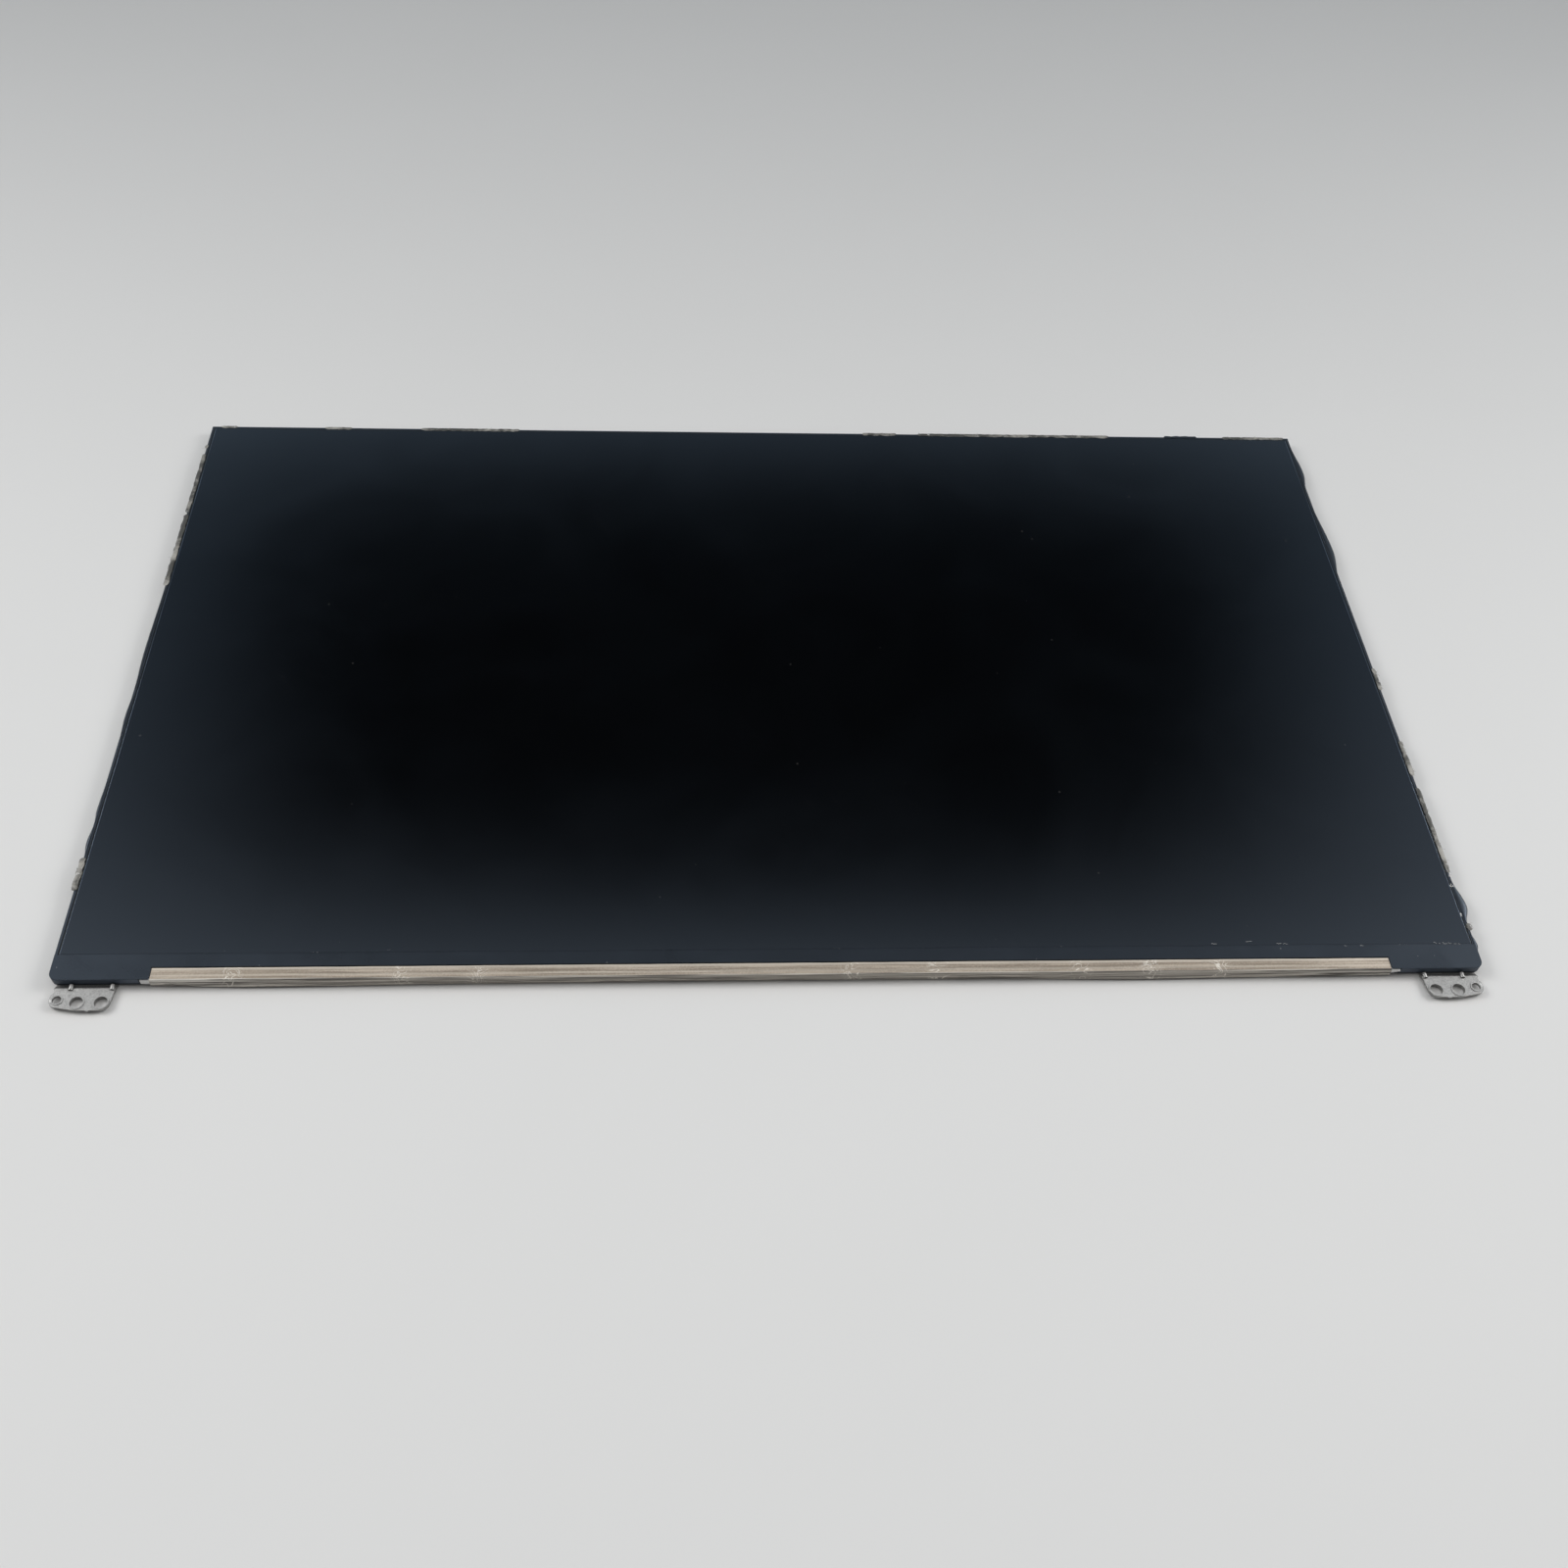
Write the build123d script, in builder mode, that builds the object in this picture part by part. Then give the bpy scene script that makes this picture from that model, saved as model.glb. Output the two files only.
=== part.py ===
import os

from build123d import *

os.makedirs("parts", exist_ok=True)

# Whole panel in millimetres: x to the right, y up the picture, z out of the face
panel_width = 315.8
panel_height = 185.6
corner_radius = 2.0

# Thickness of each layer, from the back to the face
board_space = 0.85
tray_sheet = 0.20
reflector_thick = 0.08
guide_thick = 0.40
diffuser_thick = 0.06
prism_thick = 0.10
rim_tape_thick = 0.05
rear_polarizer_thick = 0.11
glass_thick = 0.25
face_polarizer_thick = 0.15
mask_thick = 0.12
mask_seam = 0.15

# Frame walls, the ledge that carries the cell, and the play between neighbours
frame_wall = 0.60
bottom_wall = 0.80
ledge_reach = 2.40
ledge_high = 5.40
fit_gap = 0.10
glass_gap = 0.15
guide_gap = 0.20
face_inset = 0.25
rear_polarizer_inset = 0.35
rim_tape_overlap = 0.60
bottom_tape_overlap = 0.80
rear_polarizer_seat = 1.00
face_low = 6.50

# Back tray: folded edge, stiffening beads and the windows of its snaps
fold_gap = 0.08
bead_length = 104.0
bead_width = 13.0
bead_slope = 2.2
bead_x = 72.0
bead_low_y = -34.0
bead_high_y = 58.0
snap_length = 4.0
snap_height = 0.22
snap_play = 0.06
side_snaps = 5
top_snaps = 9

# Light bar
led_count = 44
led_length = 3.0
led_depth = 0.80
led_low = 3.75
flex_end_margin = 5.0
led_end_margin = 10.0
tail_width = 6.0
tail_root = 3.0
tail_bend = 0.25
tail_gap = 0.20
tail_insert = 0.50
tail_slot_height = 0.45
tail_slot_play = 0.30

# Driver films and their chips
film_count = 4
film_width = 40.0
film_thick = 0.08
film_gap = 0.05
film_bend = 0.25
film_setback = 0.30
film_board_bond = 3.20
chip_length = 18.0
chip_thick = 0.30
chip_rise = 0.20
chip_play = 0.10

# White edge film and the conductive tape folded over it
edge_film_thick = 0.05
edge_film_show = 2.0
edge_film_skirt = 1.33
tape_end_margin = 21.3
tape_thick = 0.10
tape_front = 2.90
tape_back = 3.60
tape_wave = ((-0.84, 0.60), (-0.52, 0.18), (0.02, 0.04), (0.34, 0.10), (0.58, 0.60), (0.82, 0.28))
tape_end_lift = 0.08

# Circuit board and what it carries
board_end_margin = 29.9
board_low = 0.75
board_thick = 0.30
board_corner = 1.0
board_border = 0.60
board_tape_thick = 0.05
board_tape_low = 1.60
board_tape_high = 4.40
cover_thick = 0.05
cover_end_margin = 3.0
cover_gap = 0.10
cover_lip = 0.90
cover_lip_slope = 0.60
cover_overlap = 0.60
cover_slope = 1.40
cover_seat = 2.80
chip_gap = 0.80
timing_chip_x = 10.0
timing_chip_size = 5.2
power_chip_x = 38.0
power_chip_size = 4.0
light_chip_offset = 16.0
light_chip_size = 3.0
inductor_length = 3.0
inductor_width = 2.5
inductor_corner = 0.4
power_inductor_x = 45.0
light_inductor_offset = 23.0
capacitor_length = 1.0
capacitor_width = 0.5
capacitor_height = 0.35
capacitor_columns = 4
capacitor_rows = 2
capacitor_step_x = 2.4
capacitor_step_y = 2.4
capacitor_end_margin = 14.0
capacitor_xs = (-24.0, 22.0)
light_socket_width = 8.4
light_socket_depth = 3.0
light_socket_gap = 1.40
light_socket_slot = 1.2
light_socket_play = 0.10

# Signal socket let into a notch of the board, sized from its row of contacts
socket_x = -58.0
contact_count = 30
contact_pitch = 0.5
contact_width = 0.2
contact_tail = 1.2
contact_blade = 2.2
contact_thick = 0.06
mouth_side = 0.70
mouth_depth = 2.7
mouth_height = 0.28
housing_wall = 1.60
housing_depth = 3.8
housing_gap = 2.50
notch_play = 0.40
notch_gap = 0.20
shell_sheet = 0.08
shell_gap = 0.05
shell_foot = 1.6
window_gap = 1.50
window_border = 0.20

# Fixing brackets, positions from the side edge and below or above the bottom edge
bracket_sheet = 0.50
corner_bar_drop = 0.30
corner_bar_depth = 3.0
plate_rise = 0.50
bracket_bend = 0.40
step_start = 0.35
step_run = 0.80
seat_gap = 0.40
seat_run = 1.20
root_outer = 1.50
root_inner = 14.2
root_rise = 12.0
arm_width = 6.0
arm_rise = 30.0
root_corner = 1.2
pin_hole_radius = 0.95
pin_hole_in = 2.60
pin_hole_down = 4.05
pin_lobe = 1.75
screw_hole_radius = 1.4
screw_hole_in = 6.80
screw_hole_pitch = 5.12
screw_hole_down = 4.70
screw_lobe = 1.85
rim_height = 0.12
rim_width = 0.30
collar_drop = 0.40
collar_wall = 0.25
waist_radius = 0.80
waist_in = 0.75
waist_down = 2.0
nub_radius = 0.60
nub_drop = 0.22
ear_radius = 0.50
ear_length = 1.30
ear_ins = (4.85, 13.5)
ear_sink = 0.05

# Remains of tape on the side walls: start, crown and end as shares of half the edge, and the reach
side_tape_thick = 0.12
side_tape_low = 0.10
side_tape_drop = 0.15
left_buckles = ((0.290, 0.043, -0.097, 0.50), (-0.120, -0.194, -0.270, 0.42), (-0.410, -0.500, -0.544, 0.40),
                (-0.550, -0.603, -0.647, 0.60))
right_buckles = ((0.960, 0.835, 0.755, 1.25), (0.670, 0.475, 0.365, 1.50), (-0.740, -0.815, -0.868, 1.70),
                 (-0.900, -0.932, -0.954, 0.70))

# Clear glue left on the rim: start and end as shares of half the edge, reach inward and outward
glue_thick = 0.10
glue_wobble = 0.12
left_glue_runs = ((0.910, 0.894, 0.50, 0.40), (0.867, 0.603, 0.45, 0.45), (0.593, 0.296, 0.55, 0.50),
                  (-0.652, -0.749, 0.50, 0.60))
right_glue_runs = ((-0.011, -0.092, 0.40, 0.40), (-0.280, -0.400, 0.50, 0.55), (-0.442, -0.717, 0.35, 0.45),
                   (-0.871, -0.892, 0.40, 0.80))
top_glue_runs = ((-0.985, -0.956, 0.40, 0.35), (-0.798, -0.750, 0.45, 0.20), (-0.624, -0.446, 0.50, 0.25),
                 (0.190, 0.253, 0.50, 0.35), (0.294, 0.655, 0.50, 0.30), (0.766, 0.817, 0.35, 0.40),
                 (0.874, 0.991, 0.50, 0.35))

# Outline and levels that follow from the sizes above
bracket_reach = screw_hole_down + screw_lobe
side_x = panel_width / 2
half_height = panel_height / 2
bottom_y = bracket_reach / 2 - half_height
top_y = bottom_y + panel_height
mid_y = bottom_y + half_height
low = (Align.CENTER, Align.MIN)
z_tray = board_space
z_floor = z_tray + tray_sheet
z_guide = z_floor + reflector_thick
z_diffuser = z_guide + guide_thick
z_lower_prism = z_diffuser + diffuser_thick
z_upper_prism = z_lower_prism + prism_thick
z_rim_tape = z_upper_prism + prism_thick
z_rear_polarizer = z_rim_tape + rim_tape_thick
z_tft = z_rear_polarizer + rear_polarizer_thick
z_filter = z_tft + glass_thick
z_front = z_filter + glass_thick
z_ledge = z_diffuser + diffuser_thick / 2
z_board = z_tray - board_tape_thick
z_board_back = z_board - board_thick
z_film_back = z_board_back - film_thick
z_tape_back = z_film_back - tape_thick
z_film_top = z_filter + film_thick
z_tape_in = z_film_top + edge_film_thick
z_tape_top = z_tape_in + tape_thick
z_corner_bar = z_tray - corner_bar_drop
z_plate = z_corner_bar + plate_rise

# Plan sizes that follow from the sizes above
inner_width = panel_width - 2 * frame_wall
inner_height = panel_height - frame_wall - bottom_wall
inner_radius = corner_radius - frame_wall
side_snap_pitch = inner_height / (side_snaps + 1)
top_snap_pitch = inner_width / (top_snaps + 1)
glass_margin = frame_wall + glass_gap
face_margin = glass_margin + face_inset
rear_polarizer_margin = glass_margin + rear_polarizer_inset
guide_margin = frame_wall + tray_sheet + guide_gap
guide_low = led_low + led_depth + fit_gap
sheet_margin = ledge_reach + fit_gap
sheet_low = ledge_high + fit_gap
tape_inner_margin = ledge_reach + rim_tape_overlap
tape_inner_low = ledge_high + bottom_tape_overlap
rear_polarizer_low = ledge_high - rear_polarizer_seat
glass_ledge_high = tape_front + glass_gap
tape_length = panel_width - 2 * tape_end_margin
tape_half = tape_length / 2
film_pitch = tape_length / film_count
film_xs = [film_pitch * (i - (film_count - 1) / 2) for i in range(film_count)]
film_bond = tape_front - film_setback
film_out = bottom_y - film_gap
edge_film_in = film_out - film_thick
tape_in = edge_film_in - edge_film_thick
recess_half = tape_half + edge_film_show + fit_gap
mask_notch_half = tape_half + fit_gap
chip_low = z_tray + chip_rise
chip_height = z_filter - film_bend - chip_low
tail_x = film_pitch
chip_row = tape_back + chip_gap + timing_chip_size / 2
board_length = panel_width - 2 * board_end_margin
board_high = chip_row + timing_chip_size / 2 + board_border
cover_length = board_length - 2 * cover_end_margin
cover_flat_low = chip_row - timing_chip_size / 2 - cover_gap
cover_lip_high = cover_flat_low - cover_lip_slope
cover_lip_low = cover_lip_high - cover_lip
cover_flat_high = board_high + cover_overlap
cover_slope_high = cover_flat_high + cover_slope
cover_high = cover_slope_high + cover_seat
light_chip_x = tail_x + light_chip_offset
inductor_xs = (power_inductor_x, tail_x + light_inductor_offset)
capacitor_end_x = board_length / 2 - capacitor_end_margin
capacitor_rows_x = (-capacitor_end_x, *capacitor_xs, capacitor_end_x)
light_socket_low = tape_back + light_socket_gap
tail_reach = light_socket_low + tail_insert
mouth_width = contact_count * contact_pitch + 2 * mouth_side
socket_width = mouth_width + 2 * housing_wall
socket_low = tape_back + housing_gap
socket_high = socket_low + housing_depth
notch_width = socket_width + 2 * notch_play
notch_low = socket_low - notch_gap
window_width = socket_width + 2 * (shell_gap + shell_sheet + shell_foot + window_gap)
window_low = socket_low - contact_tail - window_border
step_end = step_start + step_run

with BuildPart() as rear_tray:
    with BuildSketch(Plane.XY.offset(z_tray)) as tray_outline:
        with Locations((0, bottom_y + bottom_wall)):
            Rectangle(inner_width, inner_height, align=low)
        fillet(tray_outline.vertices().group_by(Axis.Y)[0], inner_radius)
    extrude(amount=z_ledge - fold_gap - z_tray)
    with BuildSketch(Plane.XY.offset(z_floor)):
        with Locations((0, bottom_y)):
            Rectangle(inner_width - 2 * tray_sheet, panel_height - frame_wall - tray_sheet, align=low)
    extrude(amount=board_space, mode=Mode.SUBTRACT)
    with BuildSketch(Plane.YZ):
        with Locations(*[(side_snap_pitch * (i - (side_snaps - 1) / 2), z_guide) for i in range(side_snaps)]):
            Rectangle(snap_length + 2 * snap_play, snap_height + 2 * snap_play, align=low)
    extrude(amount=side_x, both=True, mode=Mode.SUBTRACT)
    with BuildSketch(Plane.XZ.offset(-top_y)):
        with Locations(*[(top_snap_pitch * (i - (top_snaps - 1) / 2), z_guide) for i in range(top_snaps)]):
            Rectangle(snap_length + 2 * snap_play, snap_height + 2 * snap_play, align=low)
    extrude(amount=glass_margin + tray_sheet, mode=Mode.SUBTRACT)
    for x in (-bead_x, bead_x):
        for y in (bead_low_y, bead_high_y):
            with BuildSketch(Plane.XY.offset(z_tray)):
                with Locations((x, y)):
                    SlotOverall(bead_length, bead_width)
            with BuildSketch(Plane.XY):
                with Locations((x, y)):
                    SlotOverall(bead_length - 2 * bead_slope, bead_width - 2 * bead_slope)
            loft()
            with BuildSketch(Plane.XY.offset(z_floor)):
                with Locations((x, y)):
                    SlotOverall(bead_length - tray_sheet, bead_width - tray_sheet)
            with BuildSketch(Plane.XY.offset(tray_sheet)):
                with Locations((x, y)):
                    SlotOverall(bead_length - 2 * bead_slope - tray_sheet,
                                bead_width - 2 * bead_slope - tray_sheet)
            loft(mode=Mode.SUBTRACT)
rear_tray.part.label = "rear_tray"
export_step(rear_tray.part, "parts/rear_tray.step")

with BuildPart() as mold_frame:
    with BuildSketch(Plane.XY.offset(z_tray)) as frame_outline:
        with Locations((0, bottom_y)):
            Rectangle(panel_width, panel_height, align=low)
        fillet(frame_outline.vertices().group_by(Axis.Y)[0], corner_radius)
    extrude(amount=z_front - z_tray)
    with BuildSketch(Plane.XY.offset(z_tray)) as frame_opening:
        with Locations((0, bottom_y + bottom_wall)):
            Rectangle(inner_width, inner_height, align=low)
        fillet(frame_opening.vertices().group_by(Axis.Y)[0], inner_radius)
    extrude(amount=z_front - z_tray, mode=Mode.SUBTRACT)
    with BuildSketch(Plane.XY.offset(z_ledge)) as ledge:
        with Locations((0, bottom_y + bottom_wall)):
            Rectangle(inner_width, inner_height, align=low)
        fillet(ledge.vertices().group_by(Axis.Y)[0], inner_radius)
        with Locations((0, bottom_y + ledge_high)):
            Rectangle(panel_width - 2 * ledge_reach, panel_height - ledge_high - ledge_reach, align=low,
                      mode=Mode.SUBTRACT)
    extrude(amount=z_rim_tape - z_ledge)
    with BuildSketch(Plane.XY.offset(z_corner_bar)) as corner_bars:
        with Locations((0, bottom_y)):
            Rectangle(panel_width, corner_bar_depth, align=low)
        fillet(corner_bars.vertices().group_by(Axis.Y)[0], corner_radius)
        with Locations((0, bottom_y)):
            Rectangle(2 * recess_half, corner_bar_depth, align=low, mode=Mode.SUBTRACT)
    extrude(amount=corner_bar_drop)
    with BuildSketch(Plane.XY.offset(z_filter - film_gap)):
        with Locations((0, bottom_y)):
            Rectangle(2 * recess_half, bottom_wall, align=low)
    extrude(amount=glass_thick + film_gap, mode=Mode.SUBTRACT)
    outer_edges = mold_frame.edges().filter_by(Axis.X).group_by(Axis.Y)[0]
    fold_edges = outer_edges.filter_by(lambda e: abs(e.center().Z - z_filter + film_gap) < fit_gap)
    fillet(fold_edges, film_bend - film_gap)
    for x in film_xs:
        with BuildSketch(Plane.XY.offset(z_tray)):
            with Locations((x, bottom_y)):
                Rectangle(chip_length + 2 * chip_play, chip_thick + chip_play, align=low)
        extrude(amount=chip_low + chip_height + chip_play - z_tray, mode=Mode.SUBTRACT)
    with BuildSketch(Plane.XY.offset(z_tray)):
        with Locations((tail_x, bottom_y)):
            Rectangle(tail_width + 2 * tail_slot_play, bottom_wall, align=low)
    extrude(amount=tail_slot_height, mode=Mode.SUBTRACT)
    for i in range(side_snaps):
        with BuildSketch(Plane.XY.offset(z_guide + snap_play)):
            with Locations((-side_x + frame_wall, side_snap_pitch * (i - (side_snaps - 1) / 2))):
                Rectangle(tray_sheet, snap_length, align=(Align.MIN, Align.CENTER))
            with Locations((side_x - frame_wall, side_snap_pitch * (i - (side_snaps - 1) / 2))):
                Rectangle(tray_sheet, snap_length, align=(Align.MAX, Align.CENTER))
        extrude(amount=snap_height)
    with BuildSketch(Plane.XY.offset(z_guide + snap_play)):
        for i in range(top_snaps):
            with Locations((top_snap_pitch * (i - (top_snaps - 1) / 2), top_y - frame_wall)):
                Rectangle(snap_length, tray_sheet, align=(Align.CENTER, Align.MAX))
    extrude(amount=snap_height)
mold_frame.part.label = "mold_frame"
export_step(mold_frame.part, "parts/mold_frame.step")

with BuildPart() as reflector_sheet:
    with BuildSketch(Plane.XY.offset(z_floor)):
        with Locations((0, bottom_y + guide_low)):
            Rectangle(panel_width - 2 * guide_margin, panel_height - guide_low - guide_margin, align=low)
    extrude(amount=reflector_thick)
reflector_sheet.part.label = "reflector_sheet"
export_step(reflector_sheet.part, "parts/reflector_sheet.step")

with BuildPart() as light_guide:
    with BuildSketch(Plane.XY.offset(z_guide)):
        with Locations((0, bottom_y + guide_low)):
            Rectangle(panel_width - 2 * guide_margin, panel_height - guide_low - guide_margin, align=low)
    extrude(amount=guide_thick)
light_guide.part.label = "light_guide"
export_step(light_guide.part, "parts/light_guide.step")

with BuildPart() as led_flex:
    with BuildSketch(Plane.XY.offset(z_floor)):
        with Locations((0, bottom_y + bottom_wall)):
            Rectangle(panel_width - 2 * flex_end_margin, led_low + led_depth - bottom_wall, align=low)
    extrude(amount=reflector_thick)
    with BuildSketch(Plane.YZ.offset(tail_x)):
        with BuildLine():
            turn_y = bottom_y + bottom_wall - tail_bend - tail_gap
            tail_inner = FilletPolyline(
                (bottom_y + tail_root, z_floor), (turn_y, z_floor), (turn_y, z_board_back),
                (bottom_y + tail_reach, z_board_back), radius=tail_bend)
            tail_outer = FilletPolyline(
                (bottom_y + tail_root, z_guide), (turn_y - reflector_thick, z_guide),
                (turn_y - reflector_thick, z_board_back - reflector_thick),
                (bottom_y + tail_reach, z_board_back - reflector_thick), radius=tail_bend + reflector_thick)
            Line(tail_inner @ 0, tail_outer @ 0)
            Line(tail_inner @ 1, tail_outer @ 1)
        make_face()
    extrude(amount=tail_width / 2, both=True)
led_flex.part.label = "led_flex"
export_step(led_flex.part, "parts/led_flex.step")

with BuildPart() as leds:
    with BuildSketch(Plane.XY.offset(z_guide)):
        with Locations((0, bottom_y + led_low + led_depth / 2)):
            with GridLocations((panel_width - 2 * led_end_margin) / led_count, led_depth, led_count, 1):
                Rectangle(led_length, led_depth)
    extrude(amount=guide_thick)
leds.part.label = "leds"
export_step(leds.part, "parts/leds.step")

with BuildPart() as diffuser_sheet:
    with BuildSketch(Plane.XY.offset(z_diffuser)):
        with Locations((0, bottom_y + sheet_low)):
            Rectangle(panel_width - 2 * sheet_margin, panel_height - sheet_low - sheet_margin, align=low)
    extrude(amount=diffuser_thick)
diffuser_sheet.part.label = "diffuser_sheet"
export_step(diffuser_sheet.part, "parts/diffuser_sheet.step")

with BuildPart() as lower_prism:
    with BuildSketch(Plane.XY.offset(z_lower_prism)):
        with Locations((0, bottom_y + sheet_low)):
            Rectangle(panel_width - 2 * sheet_margin, panel_height - sheet_low - sheet_margin, align=low)
    extrude(amount=prism_thick)
lower_prism.part.label = "lower_prism"
export_step(lower_prism.part, "parts/lower_prism.step")

with BuildPart() as upper_prism:
    with BuildSketch(Plane.XY.offset(z_upper_prism)):
        with Locations((0, bottom_y + sheet_low)):
            Rectangle(panel_width - 2 * sheet_margin, panel_height - sheet_low - sheet_margin, align=low)
    extrude(amount=prism_thick)
upper_prism.part.label = "upper_prism"
export_step(upper_prism.part, "parts/upper_prism.step")

with BuildPart() as rim_tape:
    with BuildSketch(Plane.XY.offset(z_rim_tape)) as rim_tape_outline:
        with Locations((0, bottom_y + bottom_wall + fit_gap)):
            Rectangle(inner_width - 2 * fit_gap, inner_height - 2 * fit_gap, align=low)
        chamfer(rim_tape_outline.vertices().group_by(Axis.Y)[0], corner_radius / 2)
        with Locations((0, bottom_y + tape_inner_low)):
            Rectangle(panel_width - 2 * tape_inner_margin, panel_height - tape_inner_low - tape_inner_margin,
                      align=low, mode=Mode.SUBTRACT)
    extrude(amount=rim_tape_thick)
rim_tape.part.label = "rim_tape"
export_step(rim_tape.part, "parts/rim_tape.step")

with BuildPart() as rear_polarizer:
    with BuildSketch(Plane.XY.offset(z_rear_polarizer)):
        with Locations((0, bottom_y + rear_polarizer_low)):
            Rectangle(panel_width - 2 * rear_polarizer_margin,
                      panel_height - rear_polarizer_low - rear_polarizer_margin, align=low)
    extrude(amount=rear_polarizer_thick)
rear_polarizer.part.label = "rear_polarizer"
export_step(rear_polarizer.part, "parts/rear_polarizer.step")

with BuildPart() as tft_glass:
    with BuildSketch(Plane.XY.offset(z_tft)) as tft_outline:
        with Locations((0, bottom_y + bottom_wall + fit_gap)):
            Rectangle(panel_width - 2 * glass_margin, panel_height - bottom_wall - fit_gap - glass_margin,
                      align=low)
        chamfer(tft_outline.vertices().group_by(Axis.Y)[0], corner_radius / 2)
    extrude(amount=glass_thick)
tft_glass.part.label = "tft_glass"
export_step(tft_glass.part, "parts/tft_glass.step")

with BuildPart() as color_filter_glass:
    with BuildSketch(Plane.XY.offset(z_filter)):
        with Locations((0, bottom_y + glass_ledge_high)):
            Rectangle(panel_width - 2 * glass_margin, panel_height - glass_ledge_high - glass_margin,
                      align=low)
    extrude(amount=glass_thick)
color_filter_glass.part.label = "color_filter_glass"
export_step(color_filter_glass.part, "parts/color_filter_glass.step")

with BuildPart() as front_polarizer:
    with BuildSketch(Plane.XY.offset(z_front)):
        with Locations((0, bottom_y + face_low)):
            Rectangle(panel_width - 2 * face_margin, panel_height - face_low - face_margin, align=low)
    extrude(amount=face_polarizer_thick)
front_polarizer.part.label = "front_polarizer"
export_step(front_polarizer.part, "parts/front_polarizer.step")

with BuildPart() as mask_film:
    with BuildSketch(Plane.XY.offset(z_front)) as mask_outline:
        with Locations((0, bottom_y)):
            Rectangle(panel_width, face_low - mask_seam, align=low)
        fillet(mask_outline.vertices().group_by(Axis.Y)[0], corner_radius)
        with Locations((0, bottom_y)):
            Rectangle(2 * mask_notch_half, glass_ledge_high, align=low, mode=Mode.SUBTRACT)
    extrude(amount=mask_thick)
mask_film.part.label = "mask_film"
export_step(mask_film.part, "parts/mask_film.step")

with BuildPart() as driver_films:
    for x in film_xs:
        with BuildSketch(Plane.YZ.offset(x)):
            with BuildLine():
                film_inner = FilletPolyline(
                    (bottom_y + film_bond, z_filter), (film_out, z_filter), (film_out, z_board_back),
                    (bottom_y + film_board_bond, z_board_back), radius=film_bend)
                film_outer = FilletPolyline(
                    (bottom_y + film_bond, z_film_top), (edge_film_in, z_film_top),
                    (edge_film_in, z_film_back), (bottom_y + film_board_bond, z_film_back),
                    radius=film_bend + film_thick)
                Line(film_inner @ 0, film_outer @ 0)
                Line(film_inner @ 1, film_outer @ 1)
            make_face()
        extrude(amount=film_width / 2, both=True)
driver_films.part.label = "driver_films"
export_step(driver_films.part, "parts/driver_films.step")

with BuildPart() as driver_chips:
    with BuildSketch(Plane.XY.offset(chip_low)):
        with Locations(*[(x, film_out) for x in film_xs]):
            Rectangle(chip_length, chip_thick, align=low)
    extrude(amount=chip_height)
driver_chips.part.label = "driver_chips"
export_step(driver_chips.part, "parts/driver_chips.step")

with BuildPart() as edge_film:
    with BuildSketch(Plane.YZ):
        with BuildLine():
            edge_inner = FilletPolyline(
                (bottom_y + tape_front, z_film_top), (edge_film_in, z_film_top),
                (edge_film_in, z_tape_in - edge_film_skirt), radius=film_bend + film_thick)
            edge_outer = FilletPolyline(
                (bottom_y + tape_front, z_tape_in), (tape_in, z_tape_in),
                (tape_in, z_tape_in - edge_film_skirt), radius=film_bend + film_thick + edge_film_thick)
            Line(edge_inner @ 0, edge_outer @ 0)
            Line(edge_inner @ 1, edge_outer @ 1)
        make_face()
    extrude(amount=tape_half + edge_film_show, both=True)
edge_film.part.label = "edge_film"
export_step(edge_film.part, "parts/edge_film.step")

with BuildPart() as conductive_tape:
    with BuildSketch(Plane.XY.offset(z_tape_back)):
        with BuildLine():
            outer_wave = Spline(
                (-tape_half, tape_in - tape_thick - tape_end_lift),
                *[(tape_half * u, tape_in - tape_thick - bulge) for u, bulge in tape_wave],
                (tape_half, tape_in - tape_thick - tape_end_lift))
            Polyline(outer_wave @ 1, (tape_half, bottom_y + tape_back), (-tape_half, bottom_y + tape_back),
                     outer_wave @ 0)
        make_face()
    with BuildSketch(Plane.XY.offset(z_tape_top)):
        with BuildLine():
            outer_fold = Line((-tape_half, tape_in - tape_thick), (tape_half, tape_in - tape_thick))
            Polyline(outer_fold @ 1, (tape_half, bottom_y + tape_front), (-tape_half, bottom_y + tape_front),
                     outer_fold @ 0)
        make_face()
    loft()
    with BuildSketch(Plane.XY.offset(z_film_back)):
        with BuildLine():
            inner_wave = Spline(
                (-tape_half, tape_in - tape_end_lift),
                *[(tape_half * u, tape_in - bulge) for u, bulge in tape_wave],
                (tape_half, tape_in - tape_end_lift))
            Polyline(inner_wave @ 1, (tape_half, bottom_y + 2 * tape_back),
                     (-tape_half, bottom_y + 2 * tape_back), inner_wave @ 0)
        make_face()
    with BuildSketch(Plane.XY.offset(z_tape_in)):
        with BuildLine():
            inner_fold = Line((-tape_half, tape_in), (tape_half, tape_in))
            Polyline(inner_fold @ 1, (tape_half, bottom_y + 2 * tape_back),
                     (-tape_half, bottom_y + 2 * tape_back), inner_fold @ 0)
        make_face()
    loft(mode=Mode.SUBTRACT)
    fillet(conductive_tape.edges().filter_by(Axis.X).group_by(Axis.Z)[-1].sort_by(Axis.Y)[0], tape_thick)
conductive_tape.part.label = "conductive_tape"
export_step(conductive_tape.part, "parts/conductive_tape.step")

with BuildPart() as timing_board:
    with BuildSketch(Plane.XY.offset(z_board_back)) as board_outline:
        with Locations((0, bottom_y + board_low)):
            Rectangle(board_length, board_high - board_low, align=low)
        fillet(board_outline.vertices(), board_corner)
        with Locations((socket_x, bottom_y + notch_low)):
            Rectangle(notch_width, board_high, align=low, mode=Mode.SUBTRACT)
    extrude(amount=board_thick)
timing_board.part.label = "timing_board"
export_step(timing_board.part, "parts/timing_board.step")

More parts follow.
